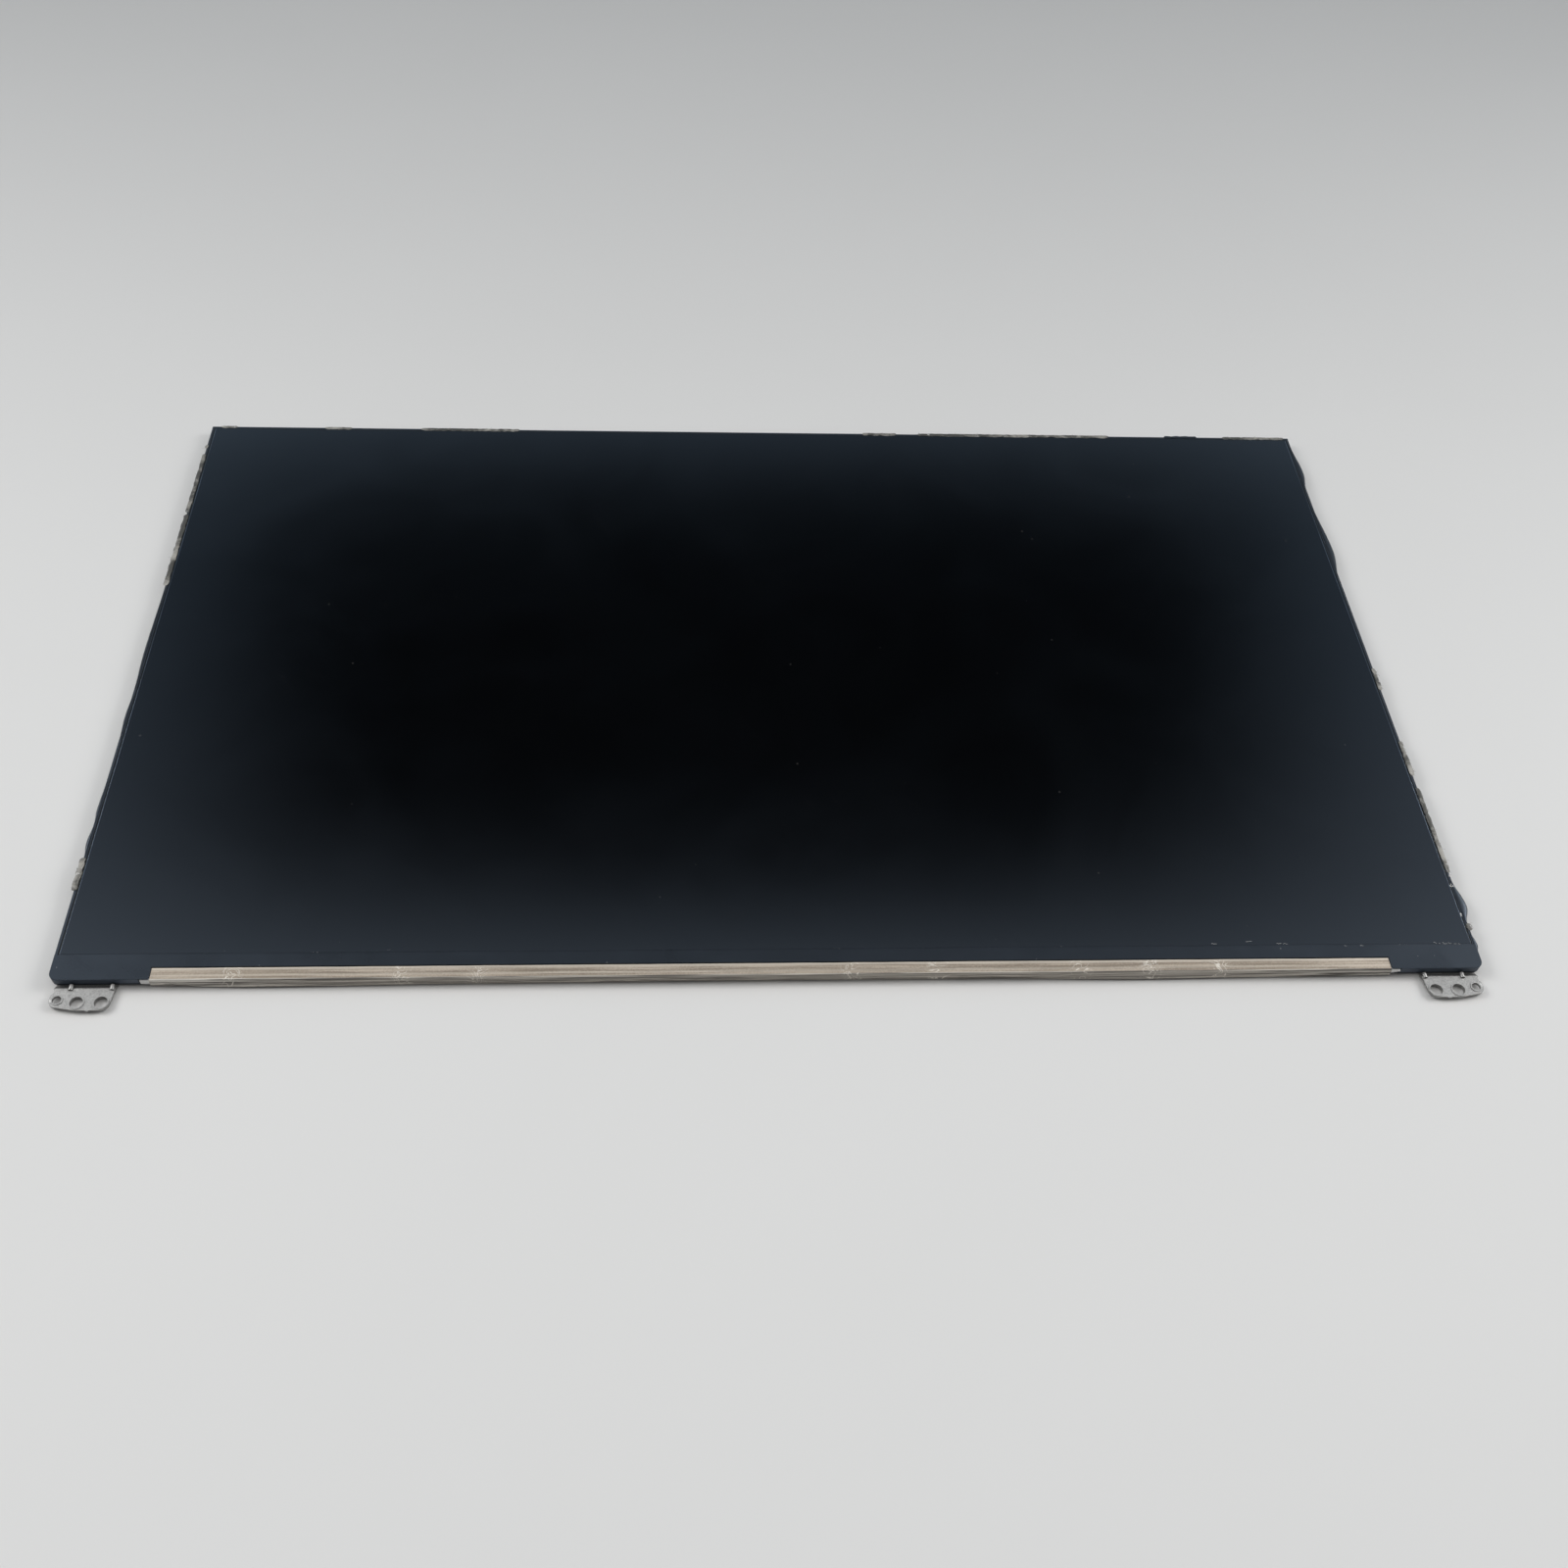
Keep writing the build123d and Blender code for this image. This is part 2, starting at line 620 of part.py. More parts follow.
with BuildPart() as board_tape:
    with BuildSketch(Plane.XY.offset(z_board)):
        with Locations((0, bottom_y + board_tape_low)):
            Rectangle(board_length - 2 * board_corner, board_tape_high - board_tape_low, align=low)
    extrude(amount=board_tape_thick)
board_tape.part.label = "board_tape"
export_step(board_tape.part, "parts/board_tape.step")

with BuildPart() as timing_chip:
    with BuildSketch(Plane.XY.offset(cover_thick)):
        with Locations((timing_chip_x, bottom_y + chip_row)):
            Rectangle(timing_chip_size, timing_chip_size)
    extrude(amount=z_board_back - cover_thick)
timing_chip.part.label = "timing_chip"
export_step(timing_chip.part, "parts/timing_chip.step")

with BuildPart() as power_chip:
    with BuildSketch(Plane.XY.offset(cover_thick)):
        with Locations((power_chip_x, bottom_y + chip_row)):
            Rectangle(power_chip_size, power_chip_size)
    extrude(amount=z_board_back - cover_thick)
power_chip.part.label = "power_chip"
export_step(power_chip.part, "parts/power_chip.step")

with BuildPart() as light_chip:
    with BuildSketch(Plane.XY.offset(cover_thick)):
        with Locations((light_chip_x, bottom_y + chip_row)):
            Rectangle(light_chip_size, light_chip_size)
    extrude(amount=z_board_back - cover_thick)
light_chip.part.label = "light_chip"
export_step(light_chip.part, "parts/light_chip.step")

with BuildPart() as inductors:
    with BuildSketch(Plane.XY.offset(cover_thick)) as coil_outline:
        with Locations(*[(x, bottom_y + chip_row) for x in inductor_xs]):
            Rectangle(inductor_length, inductor_width)
        chamfer(coil_outline.vertices(), inductor_corner)
    extrude(amount=z_board_back - cover_thick)
inductors.part.label = "inductors"
export_step(inductors.part, "parts/inductors.step")

with BuildPart() as capacitors:
    with BuildSketch(Plane.XY.offset(z_board_back - capacitor_height)):
        with Locations(*[(x, bottom_y + chip_row) for x in capacitor_rows_x]):
            with GridLocations(capacitor_step_x, capacitor_step_y, capacitor_columns, capacitor_rows):
                Rectangle(capacitor_length, capacitor_width)
    extrude(amount=capacitor_height)
capacitors.part.label = "capacitors"
export_step(capacitors.part, "parts/capacitors.step")

with BuildPart() as light_socket:
    with BuildSketch(Plane.XY.offset(cover_thick)):
        with Locations((tail_x, bottom_y + light_socket_low)):
            Rectangle(light_socket_width, light_socket_depth, align=low)
    extrude(amount=z_board_back - cover_thick)
    with BuildSketch(Plane.XY.offset(z_board_back - reflector_thick - light_socket_play)):
        with Locations((tail_x, bottom_y + light_socket_low)):
            Rectangle(tail_width + 2 * light_socket_play, light_socket_slot, align=low)
    extrude(amount=reflector_thick + light_socket_play, mode=Mode.SUBTRACT)
light_socket.part.label = "light_socket"
export_step(light_socket.part, "parts/light_socket.step")

with BuildPart() as input_housing:
    with BuildSketch(Plane.XY.offset(shell_sheet)):
        with Locations((socket_x, bottom_y + socket_low)):
            Rectangle(socket_width, socket_high - socket_low, align=low)
    extrude(amount=z_board - shell_sheet)
    with BuildSketch(Plane.XY.offset((shell_sheet + z_board - mouth_height) / 2)):
        with Locations((socket_x, bottom_y + socket_high)):
            Rectangle(mouth_width, mouth_depth, align=(Align.CENTER, Align.MAX))
    extrude(amount=mouth_height, mode=Mode.SUBTRACT)
input_housing.part.label = "input_housing"
export_step(input_housing.part, "parts/input_housing.step")

with BuildPart() as input_shell:
    with BuildSketch(Plane.XZ.offset(-bottom_y - socket_high)):
        with BuildLine():
            shell_half = socket_width / 2 + shell_gap
            foot_end = shell_half + shell_sheet + shell_foot
            Polyline(
                (socket_x - foot_end, z_board_back), (socket_x - shell_half, z_board_back),
                (socket_x - shell_half, shell_sheet), (socket_x + shell_half, shell_sheet),
                (socket_x + shell_half, z_board_back), (socket_x + foot_end, z_board_back),
                (socket_x + foot_end, z_board_back - shell_sheet),
                (socket_x + shell_half + shell_sheet, z_board_back - shell_sheet),
                (socket_x + shell_half + shell_sheet, 0), (socket_x - shell_half - shell_sheet, 0),
                (socket_x - shell_half - shell_sheet, z_board_back - shell_sheet),
                (socket_x - foot_end, z_board_back - shell_sheet), close=True)
        make_face()
    extrude(amount=socket_high - socket_low)
input_shell.part.label = "input_shell"
export_step(input_shell.part, "parts/input_shell.step")

with BuildPart() as input_contacts:
    with BuildSketch(Plane.XY.offset(z_board_back - contact_thick)):
        with Locations((socket_x, bottom_y + socket_low - contact_tail / 2)):
            with GridLocations(contact_pitch, contact_tail, contact_count, 1):
                Rectangle(contact_width, contact_tail)
    extrude(amount=contact_thick)
    with BuildSketch(Plane.XY.offset((shell_sheet + z_board - mouth_height) / 2)):
        with Locations((socket_x, bottom_y + socket_high - mouth_depth + contact_blade / 2)):
            with GridLocations(contact_pitch, contact_blade, contact_count, 1):
                Rectangle(contact_width, contact_blade)
    extrude(amount=contact_thick)
input_contacts.part.label = "input_contacts"
export_step(input_contacts.part, "parts/input_contacts.step")

with BuildPart() as board_cover:
    with BuildSketch(Plane.YZ):
        with BuildLine():
            Polyline(
                (bottom_y + cover_lip_low, z_tape_back), (bottom_y + cover_lip_high, z_tape_back),
                (bottom_y + cover_flat_low, cover_thick), (bottom_y + cover_flat_high, cover_thick),
                (bottom_y + cover_slope_high, z_tray), (bottom_y + cover_high, z_tray),
                (bottom_y + cover_high, z_tray - cover_thick),
                (bottom_y + cover_slope_high + cover_thick, z_tray - cover_thick),
                (bottom_y + cover_flat_high + cover_thick, 0), (bottom_y + cover_flat_low - cover_thick, 0),
                (bottom_y + cover_lip_high - cover_thick, z_tape_back - cover_thick),
                (bottom_y + cover_lip_low, z_tape_back - cover_thick), close=True)
        make_face()
    extrude(amount=cover_length / 2, both=True)
    with BuildSketch(Plane.XY):
        with Locations((socket_x, bottom_y + window_low)):
            Rectangle(window_width, cover_high, align=low)
    extrude(amount=z_tray, mode=Mode.SUBTRACT)
board_cover.part.label = "board_cover"
export_step(board_cover.part, "parts/board_cover.step")

with BuildPart() as left_bracket:
    with BuildSketch(Plane.YZ.offset(-side_x)):
        with BuildLine():
            seat_start = bottom_y + corner_bar_depth + seat_gap
            sheet_top = FilletPolyline(
                (bottom_y + arm_rise, z_tray), (seat_start + seat_run, z_tray), (seat_start, z_corner_bar),
                (bottom_y - step_start, z_corner_bar), (bottom_y - step_end, z_plate),
                (bottom_y - 2 * bracket_reach, z_plate), radius=bracket_bend)
            sheet_under = FilletPolyline(
                (bottom_y + arm_rise, z_tray - bracket_sheet),
                (seat_start + seat_run, z_tray - bracket_sheet),
                (seat_start, z_corner_bar - bracket_sheet),
                (bottom_y - step_start, z_corner_bar - bracket_sheet),
                (bottom_y - step_end, z_plate - bracket_sheet),
                (bottom_y - 2 * bracket_reach, z_plate - bracket_sheet), radius=bracket_bend)
            Line(sheet_top @ 0, sheet_under @ 0)
            Line(sheet_top @ 1, sheet_under @ 1)
        make_face()
    extrude(amount=2 * root_inner)
    with BuildSketch(Plane.XY) as bracket_outline:
        with Locations((-side_x + pin_hole_in, bottom_y - pin_hole_down)):
            Circle(pin_lobe)
        with Locations((-side_x + screw_hole_in, bottom_y - screw_hole_down),
                       (-side_x + screw_hole_in + screw_hole_pitch, bottom_y - screw_hole_down)):
            Circle(screw_lobe)
        with Locations((-side_x + root_outer, bottom_y)):
            Rectangle(root_inner - root_outer, root_corner, align=(Align.MIN, Align.MAX))
        make_hull(bracket_outline.edges())
        with Locations((-side_x + waist_in, bottom_y - waist_down)):
            Circle(waist_radius, mode=Mode.SUBTRACT)
        with Locations((-side_x + screw_hole_in + screw_hole_pitch / 2,
                        bottom_y - screw_hole_down - screw_lobe + nub_radius - nub_drop)):
            Circle(nub_radius)
        with Locations((-side_x + root_outer, bottom_y)):
            Rectangle(root_inner - root_outer, root_rise, align=(Align.MIN, Align.MIN))
            Rectangle(arm_width, arm_rise, align=(Align.MIN, Align.MIN))
        fillet(bracket_outline.vertices().group_by(Axis.Y)[-1], root_corner)
    extrude(amount=2 * z_plate, mode=Mode.INTERSECT)
    with BuildSketch(Plane.XY.offset(z_plate)):
        with Locations((-side_x + pin_hole_in, bottom_y - pin_hole_down)):
            Circle(pin_hole_radius + rim_width)
        with Locations((-side_x + screw_hole_in, bottom_y - screw_hole_down),
                       (-side_x + screw_hole_in + screw_hole_pitch, bottom_y - screw_hole_down)):
            Circle(screw_hole_radius + rim_width)
    extrude(amount=rim_height)
    with BuildSketch(Plane.XY.offset(z_plate - bracket_sheet)):
        with Locations((-side_x + screw_hole_in, bottom_y - screw_hole_down),
                       (-side_x + screw_hole_in + screw_hole_pitch, bottom_y - screw_hole_down)):
            Circle(screw_hole_radius + collar_wall)
    extrude(amount=-collar_drop)
    with Locations(*[Location((-side_x + ear_in, bottom_y - step_start, z_plate - ear_sink), (90, 0, 0))
                     for ear_in in ear_ins]):
        Cylinder(radius=ear_radius, height=ear_length, align=(Align.CENTER, Align.CENTER, Align.MIN))
    with Locations((-side_x + pin_hole_in, bottom_y - pin_hole_down, z_plate + rim_height)):
        Hole(radius=pin_hole_radius)
    with Locations(*[(-side_x + hole_in, bottom_y - screw_hole_down, z_plate + rim_height)
                     for hole_in in (screw_hole_in, screw_hole_in + screw_hole_pitch)]):
        Hole(radius=screw_hole_radius)
left_bracket.part.label = "left_bracket"
export_step(left_bracket.part, "parts/left_bracket.step")

with BuildPart() as right_bracket:
    mirror(left_bracket.part, about=Plane.YZ)
right_bracket.part.label = "right_bracket"
export_step(right_bracket.part, "parts/right_bracket.step")

with BuildPart() as left_tape:
    for start, crown, end, reach in left_buckles:
        y_start = mid_y + half_height * start
        y_crown = mid_y + half_height * crown
        y_end = mid_y + half_height * end
        with BuildSketch(Plane.XY.offset(z_tray + side_tape_low)):
            with BuildLine():
                skin = Spline((-side_x - side_tape_thick, y_start), (-side_x - reach, y_crown),
                              (-side_x - side_tape_thick, y_end), tangents=((0, -1), (0, -1)))
                back = Spline((-side_x, y_start), (-side_x - reach + side_tape_thick, y_crown),
                              (-side_x, y_end), tangents=((0, -1), (0, -1)))
                Line(skin @ 0, back @ 0)
                Line(skin @ 1, back @ 1)
            make_face()
        extrude(amount=z_front - side_tape_drop - z_tray - side_tape_low)
left_tape.part.label = "left_tape"
export_step(left_tape.part, "parts/left_tape.step")

with BuildPart() as right_tape:
    for start, crown, end, reach in right_buckles:
        y_start = mid_y + half_height * start
        y_crown = mid_y + half_height * crown
        y_end = mid_y + half_height * end
        with BuildSketch(Plane.XY.offset(z_tray + side_tape_low)):
            with BuildLine():
                skin = Spline((side_x + side_tape_thick, y_start), (side_x + reach, y_crown),
                              (side_x + side_tape_thick, y_end), tangents=((0, -1), (0, -1)))
                back = Spline((side_x, y_start), (side_x + reach - side_tape_thick, y_crown),
                              (side_x, y_end), tangents=((0, -1), (0, -1)))
                Line(skin @ 0, back @ 0)
                Line(skin @ 1, back @ 1)
            make_face()
        extrude(amount=z_front - side_tape_drop - z_tray - side_tape_low)
right_tape.part.label = "right_tape"
export_step(right_tape.part, "parts/right_tape.step")

with BuildPart() as left_glue:
    for start, end, inward, outward in left_glue_runs:
        y_start = mid_y + half_height * start
        y_end = mid_y + half_height * end
        x_out = -side_x - outward
        x_dent = x_out + glue_wobble
        with BuildSketch(Plane.XY.offset(z_front)):
            with BuildLine():
                ragged = Polyline((x_out, y_start), (x_dent, (2 * y_start + y_end) / 3),
                                  (x_out, (y_start + y_end) / 2), (x_dent, (y_start + 2 * y_end) / 3),
                                  (x_out, y_end))
                Polyline(ragged @ 1, (-side_x + inward, y_end), (-side_x + inward, y_start), ragged @ 0)
            make_face()
        extrude(amount=glue_thick)
left_glue.part.label = "left_glue"
export_step(left_glue.part, "parts/left_glue.step")

with BuildPart() as right_glue:
    for start, end, inward, outward in right_glue_runs:
        y_start = mid_y + half_height * start
        y_end = mid_y + half_height * end
        x_out = side_x + outward
        x_dent = x_out - glue_wobble
        with BuildSketch(Plane.XY.offset(z_front)):
            with BuildLine():
                ragged = Polyline((x_out, y_start), (x_dent, (2 * y_start + y_end) / 3),
                                  (x_out, (y_start + y_end) / 2), (x_dent, (y_start + 2 * y_end) / 3),
                                  (x_out, y_end))
                Polyline(ragged @ 1, (side_x - inward, y_end), (side_x - inward, y_start), ragged @ 0)
            make_face()
        extrude(amount=glue_thick)
right_glue.part.label = "right_glue"
export_step(right_glue.part, "parts/right_glue.step")

with BuildPart() as top_glue:
    for start, end, inward, outward in top_glue_runs:
        x_start = side_x * start
        x_end = side_x * end
        y_out = top_y + outward
        y_dent = y_out - glue_wobble
        with BuildSketch(Plane.XY.offset(z_front)):
            with BuildLine():
                ragged = Polyline((x_start, y_out), ((2 * x_start + x_end) / 3, y_dent),
                                  ((x_start + x_end) / 2, y_out), ((x_start + 2 * x_end) / 3, y_dent),
                                  (x_end, y_out))
                Polyline(ragged @ 1, (x_end, top_y - inward), (x_start, top_y - inward), ragged @ 0)
            make_face()
        extrude(amount=glue_thick)
top_glue.part.label = "top_glue"
export_step(top_glue.part, "parts/top_glue.step")
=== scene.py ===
import math

import bmesh
import bpy
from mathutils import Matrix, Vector, noise


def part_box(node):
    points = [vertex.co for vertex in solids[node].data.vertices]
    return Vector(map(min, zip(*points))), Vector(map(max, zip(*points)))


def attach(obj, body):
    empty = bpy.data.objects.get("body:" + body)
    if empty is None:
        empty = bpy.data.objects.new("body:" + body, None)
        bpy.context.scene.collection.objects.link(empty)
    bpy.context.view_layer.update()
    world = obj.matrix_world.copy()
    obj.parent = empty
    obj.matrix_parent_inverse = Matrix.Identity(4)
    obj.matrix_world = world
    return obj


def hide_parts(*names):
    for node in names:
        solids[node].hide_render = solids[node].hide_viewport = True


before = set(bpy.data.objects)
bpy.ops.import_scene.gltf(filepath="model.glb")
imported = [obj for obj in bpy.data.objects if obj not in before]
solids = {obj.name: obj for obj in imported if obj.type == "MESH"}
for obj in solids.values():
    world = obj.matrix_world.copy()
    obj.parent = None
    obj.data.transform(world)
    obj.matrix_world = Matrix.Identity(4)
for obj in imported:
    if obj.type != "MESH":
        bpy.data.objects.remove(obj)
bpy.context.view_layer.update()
mm = 0.001

# Back tray: a shallow pan pressed from thin zinc-plated steel, with four long beads that stiffen it.
# Its folded edge snaps round the moulded frame, and it carries every other layer of the panel.


def place(tree, kind, inputs=None, **settings):
    """Adds a node, sets its options, and fills its inputs with values or with other nodes' outputs."""
    node = tree.nodes.new(kind)
    for option, choice in settings.items():
        setattr(node, option, choice)
    for name, value in (inputs or {}).items():
        if isinstance(value, bpy.types.NodeSocket):
            tree.links.new(value, node.inputs[name])
        else:
            node.inputs[name].default_value = value
    return node


def calc(tree, operation, first, second=0.0):
    """One step of arithmetic in a node tree."""
    return place(tree, "ShaderNodeMath", {0: first, 1: second}, operation=operation).outputs[0]


def spread(tree, value, start, end, low, high):
    """Stretches a value from one range onto another and holds it there."""
    inputs = {"Value": value, "From Min": start, "From Max": end, "To Min": low, "To Max": high}
    return place(tree, "ShaderNodeMapRange", inputs).outputs["Result"]


def mix_colours(tree, mask, low, high):
    """Goes from the low colour to the high one with a mask."""
    return place(tree, "ShaderNodeMix", {0: mask, 6: low, 7: high}, data_type="RGBA").outputs[2]


def relief(tree, height, depth):
    """Turns a height map into a surface normal; depth is the real height of the relief."""
    return place(tree, "ShaderNodeBump", {"Height": height, "Distance": depth}).outputs["Normal"]


def new_finish(name, **values):
    """Starts a material. Values that hold all over the surface go straight onto its shader."""
    finish = bpy.data.materials.new(name)
    finish.use_nodes = True
    shader = finish.node_tree.nodes["Principled BSDF"]
    for socket, value in values.items():
        shader.inputs[socket.replace("_", " ")].default_value = value
    where = place(finish.node_tree, "ShaderNodeTexCoord").outputs["Object"]
    return finish, finish.node_tree, where


def lay_on(tree, **sources):
    """Feeds what changes over the surface into a material's shader."""
    shader = tree.nodes["Principled BSDF"]
    for socket, source in sources.items():
        tree.links.new(source, shader.inputs[socket.replace("_", " ")])


def new_effect(name, inputs, outputs):
    """Starts a shader node group with named inputs and outputs, for an effect that several finishes share."""
    effect = bpy.data.node_groups.new(name, "ShaderNodeTree")
    for direction, sockets in (("INPUT", inputs), ("OUTPUT", outputs)):
        for socket, kind in sockets.items():
            effect.interface.new_socket(socket, in_out=direction, socket_type="NodeSocket" + kind)
    return effect, effect.nodes.new("NodeGroupInput").outputs, effect.nodes.new("NodeGroupOutput").inputs


def use_effect(tree, effect, **inputs):
    """Places an effect in a material with the values that this material needs."""
    return place(tree, "ShaderNodeGroup", inputs, node_tree=effect).outputs


grain_effect, grain_in, grain_out = new_effect(
    "surface_grain", {"Where": "Vector", "Size": "Float", "Stretch": "Vector"},
    {"Height": "Float", "Patches": "Float"})
grain_place = place(grain_effect, "ShaderNodeVectorMath", {0: grain_in["Where"], 1: grain_in["Stretch"]},
                    operation="MULTIPLY").outputs[0]
grain_scale = calc(grain_effect, "DIVIDE", 1.0, grain_in["Size"])
grain_fine = place(grain_effect, "ShaderNodeTexNoise",
                   {"Vector": grain_place, "Scale": grain_scale, "Detail": 3.0, "Roughness": 0.6})
grain_broad = place(grain_effect, "ShaderNodeTexNoise",
                    {"Vector": grain_in["Where"], "Scale": calc(grain_effect, "MULTIPLY", grain_scale, 0.01),
                     "Detail": 4.0, "Roughness": 0.55, "Distortion": 0.6})
grain_effect.links.new(grain_fine.outputs[0], grain_out["Height"])
grain_effect.links.new(grain_broad.outputs[0], grain_out["Patches"])


def grain(tree, where, size, stretch=(1, 1, 1)):
    """Fine grain of a given size, drawn out by the stretch, and patches a hundred times as broad."""
    return use_effect(tree, grain_effect, Where=where, Size=size, Stretch=stretch)


scratch_effect, scratch_in, scratch_out = new_effect(
    "fine_scratches", {"Where": "Vector", "Length": "Float", "Turn": "Float"}, {"Mask": "Float"})
scratch_turned = place(scratch_effect, "ShaderNodeVectorRotate",
                       {"Vector": scratch_in["Where"], "Angle": scratch_in["Turn"]},
                       rotation_type="Z_AXIS").outputs[0]
scratch_drawn = place(scratch_effect, "ShaderNodeVectorMath", {0: scratch_turned, 1: (1.0, 26.0, 26.0)},
                      operation="MULTIPLY").outputs[0]
scratch_scale = calc(scratch_effect, "DIVIDE", 1.0, scratch_in["Length"])
scratch_lines = place(scratch_effect, "ShaderNodeTexNoise",
                      {"Vector": scratch_drawn, "Scale": scratch_scale, "Detail": 1.0}).outputs[0]
scratch_breaks = place(scratch_effect, "ShaderNodeTexNoise",
                       {"Vector": scratch_turned, "Scale": scratch_scale, "Detail": 2.0}).outputs[0]
scratch_edge = calc(scratch_effect, "ABSOLUTE", calc(scratch_effect, "SUBTRACT", scratch_lines, 0.5))
scratch_thin = spread(scratch_effect, scratch_edge, 0.0, 0.012, 1.0, 0.0)
scratch_here = spread(scratch_effect, scratch_breaks, 0.54, 0.66, 0.0, 1.0)
scratch_effect.links.new(calc(scratch_effect, "MULTIPLY", scratch_thin, scratch_here), scratch_out["Mask"])


def scratches(tree, where, length, turn):
    """A mask of fine broken scratches, turned by an angle."""
    return use_effect(tree, scratch_effect, Where=where, Length=length, Turn=turn)["Mask"]


dust_effect, dust_in, dust_out = new_effect(
    "settled_dust", {"Where": "Vector", "Spacing": "Float", "Amount": "Float"}, {"Mask": "Float"})
dust_scale = calc(dust_effect, "DIVIDE", 1.0, dust_in["Spacing"])
dust_cells = place(dust_effect, "ShaderNodeTexVoronoi", {"Vector": dust_in["Where"], "Scale": dust_scale})
dust_draw = place(dust_effect, "ShaderNodeSeparateColor", {"Color": dust_cells.outputs["Color"]}).outputs
dust_reach = calc(dust_effect, "MULTIPLY", dust_draw[0], 0.11)
dust_near = calc(dust_effect, "LESS_THAN", dust_cells.outputs["Distance"], dust_reach)
dust_kept = calc(dust_effect, "LESS_THAN", dust_draw[1], dust_in["Amount"])
dust_effect.links.new(calc(dust_effect, "MULTIPLY", dust_near, dust_kept), dust_out["Mask"])


def dust(tree, where, spacing, amount):
    """A mask of dust specks; the amount is the share of places that hold one."""
    return use_effect(tree, dust_effect, Where=where, Spacing=spacing, Amount=amount)["Mask"]


def steel_finish(name, light, dark, roughness, stretch, streak):
    """Plated sheet steel: fine rolling streaks, cloudy plating, a few scratches and grey dust."""
    finish, tree, where = new_finish(name, Metallic=1.0)
    rolled = grain(tree, where, streak, stretch)
    scratched = scratches(tree, where, 14 * mm, 0.5)
    dusty = dust(tree, where, 3.0 * mm, 0.25)
    plating = mix_colours(tree, spread(tree, rolled["Patches"], 0.3, 0.7, 0.0, 1.0), dark, light)
    streaked = mix_colours(tree, spread(tree, rolled["Height"], 0.35, 0.75, 0.0, 0.35), plating, light)
    marked = mix_colours(tree, calc(tree, "MULTIPLY", scratched, 0.5), streaked, (0.75, 0.75, 0.74, 1))
    gloss = spread(tree, rolled["Patches"], 0.25, 0.75, roughness - 0.07, roughness + 0.08)
    lay_on(tree, Base_Color=mix_colours(tree, dusty, marked, (0.42, 0.41, 0.40, 1)),
           Roughness=calc(tree, "ADD", gloss, calc(tree, "MULTIPLY", rolled["Height"], 0.08)),
           Normal=relief(tree, calc(tree, "SUBTRACT", rolled["Height"], scratched), 0.004 * mm))
    return finish


def show_solid(name, finish):
    """Shows a CAD solid whose shape is right, with its finish in its own material slots."""
    for slot in solids[name].material_slots:
        slot.material = finish


tray_finish = steel_finish("zinc_plated_tray", (0.60, 0.605, 0.61, 1), (0.545, 0.55, 0.555, 1), 0.36,
                           (0.04, 1.0, 1.0), 0.09 * mm)
show_solid("rear_tray", tray_finish)

# Moulded frame: one black polycarbonate ring with a ledge for the glass and snaps that hold the tray.
# It comes from the mould with a fine eroded texture and slightly rounded edges.


def settle(maker):
    """Turns an object with modifiers into the plain mesh that it shows, and drops the object."""
    bpy.context.view_layer.update()
    shown = maker.evaluated_get(bpy.context.evaluated_depsgraph_get())
    mesh = bpy.data.meshes.new_from_object(shown)
    bpy.data.objects.remove(maker)
    return mesh


def on_bench(name, mesh):
    """A passing object that holds a mesh while modifiers work on it."""
    maker = bpy.data.objects.new(name, mesh)
    bpy.context.scene.collection.objects.link(maker)
    return maker


def smooth(mesh, corner_degrees):
    """Shades a mesh smooth and keeps corners sharper than the given angle."""
    mesh.shade_smooth()
    mesh.set_sharp_from_angle(angle=math.radians(corner_degrees))


def rounded_solid(name, edge, steps=2):
    """A CAD solid again, its loose triangles joined and its sharp edges rounded."""
    shape = bmesh.new()
    shape.from_mesh(solids[name].data)
    bmesh.ops.remove_doubles(shape, verts=shape.verts, dist=0.001 * mm)
    bmesh.ops.dissolve_limit(shape, angle_limit=math.radians(0.5), verts=shape.verts, edges=shape.edges)
    mesh = bpy.data.meshes.new(name + "_rounded")
    shape.to_mesh(mesh)
    shape.free()
    smooth(mesh, 38)
    maker = on_bench(mesh.name, mesh)
    bevel = maker.modifiers.new("rounded edges", "BEVEL")
    bevel.width = edge
    bevel.segments = steps
    bevel.limit_method = "ANGLE"
    bevel.angle_limit = math.radians(38)
    flats = maker.modifiers.new("flat faces stay flat", "WEIGHTED_NORMAL")
    flats.keep_sharp = True
    return settle(maker)


def add_piece(name, mesh, finish, slot, *stands_for):
    """Puts a finished mesh on the panel's one body, in place of the CAD solids that it stands for."""
    mesh.materials.clear()
    mesh.materials.append(finish)
    piece = bpy.data.objects.new(name, mesh)
    bpy.context.scene.collection.objects.link(piece)
    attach(piece, "root")
    if stands_for:
        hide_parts(*stands_for)


frame_finish, tree, where = new_finish("moulded_black_frame", IOR=1.46, Specular_Tint=(0.62, 0.78, 1.0, 1))
eroded = grain(tree, where, 0.12 * mm)
rubbed = scratches(tree, where, 6 * mm, 0.15)
specks = dust(tree, where, 1.6 * mm, 0.2)
moulded = mix_colours(tree, eroded["Patches"], (0.011, 0.013, 0.017, 1), (0.018, 0.021, 0.027, 1))
worn = mix_colours(tree, calc(tree, "MULTIPLY", rubbed, 0.5), moulded, (0.05, 0.05, 0.055, 1))
lay_on(tree, Base_Color=mix_colours(tree, specks, worn, (0.20, 0.19, 0.18, 1)),
       Roughness=spread(tree, eroded["Patches"], 0.3, 0.7, 0.42, 0.56),
       Normal=relief(tree, eroded["Height"], 0.006 * mm))
add_piece("moulded_frame", rounded_solid("mold_frame", 0.05 * mm), frame_finish, "frame_plastic",
          "mold_frame")

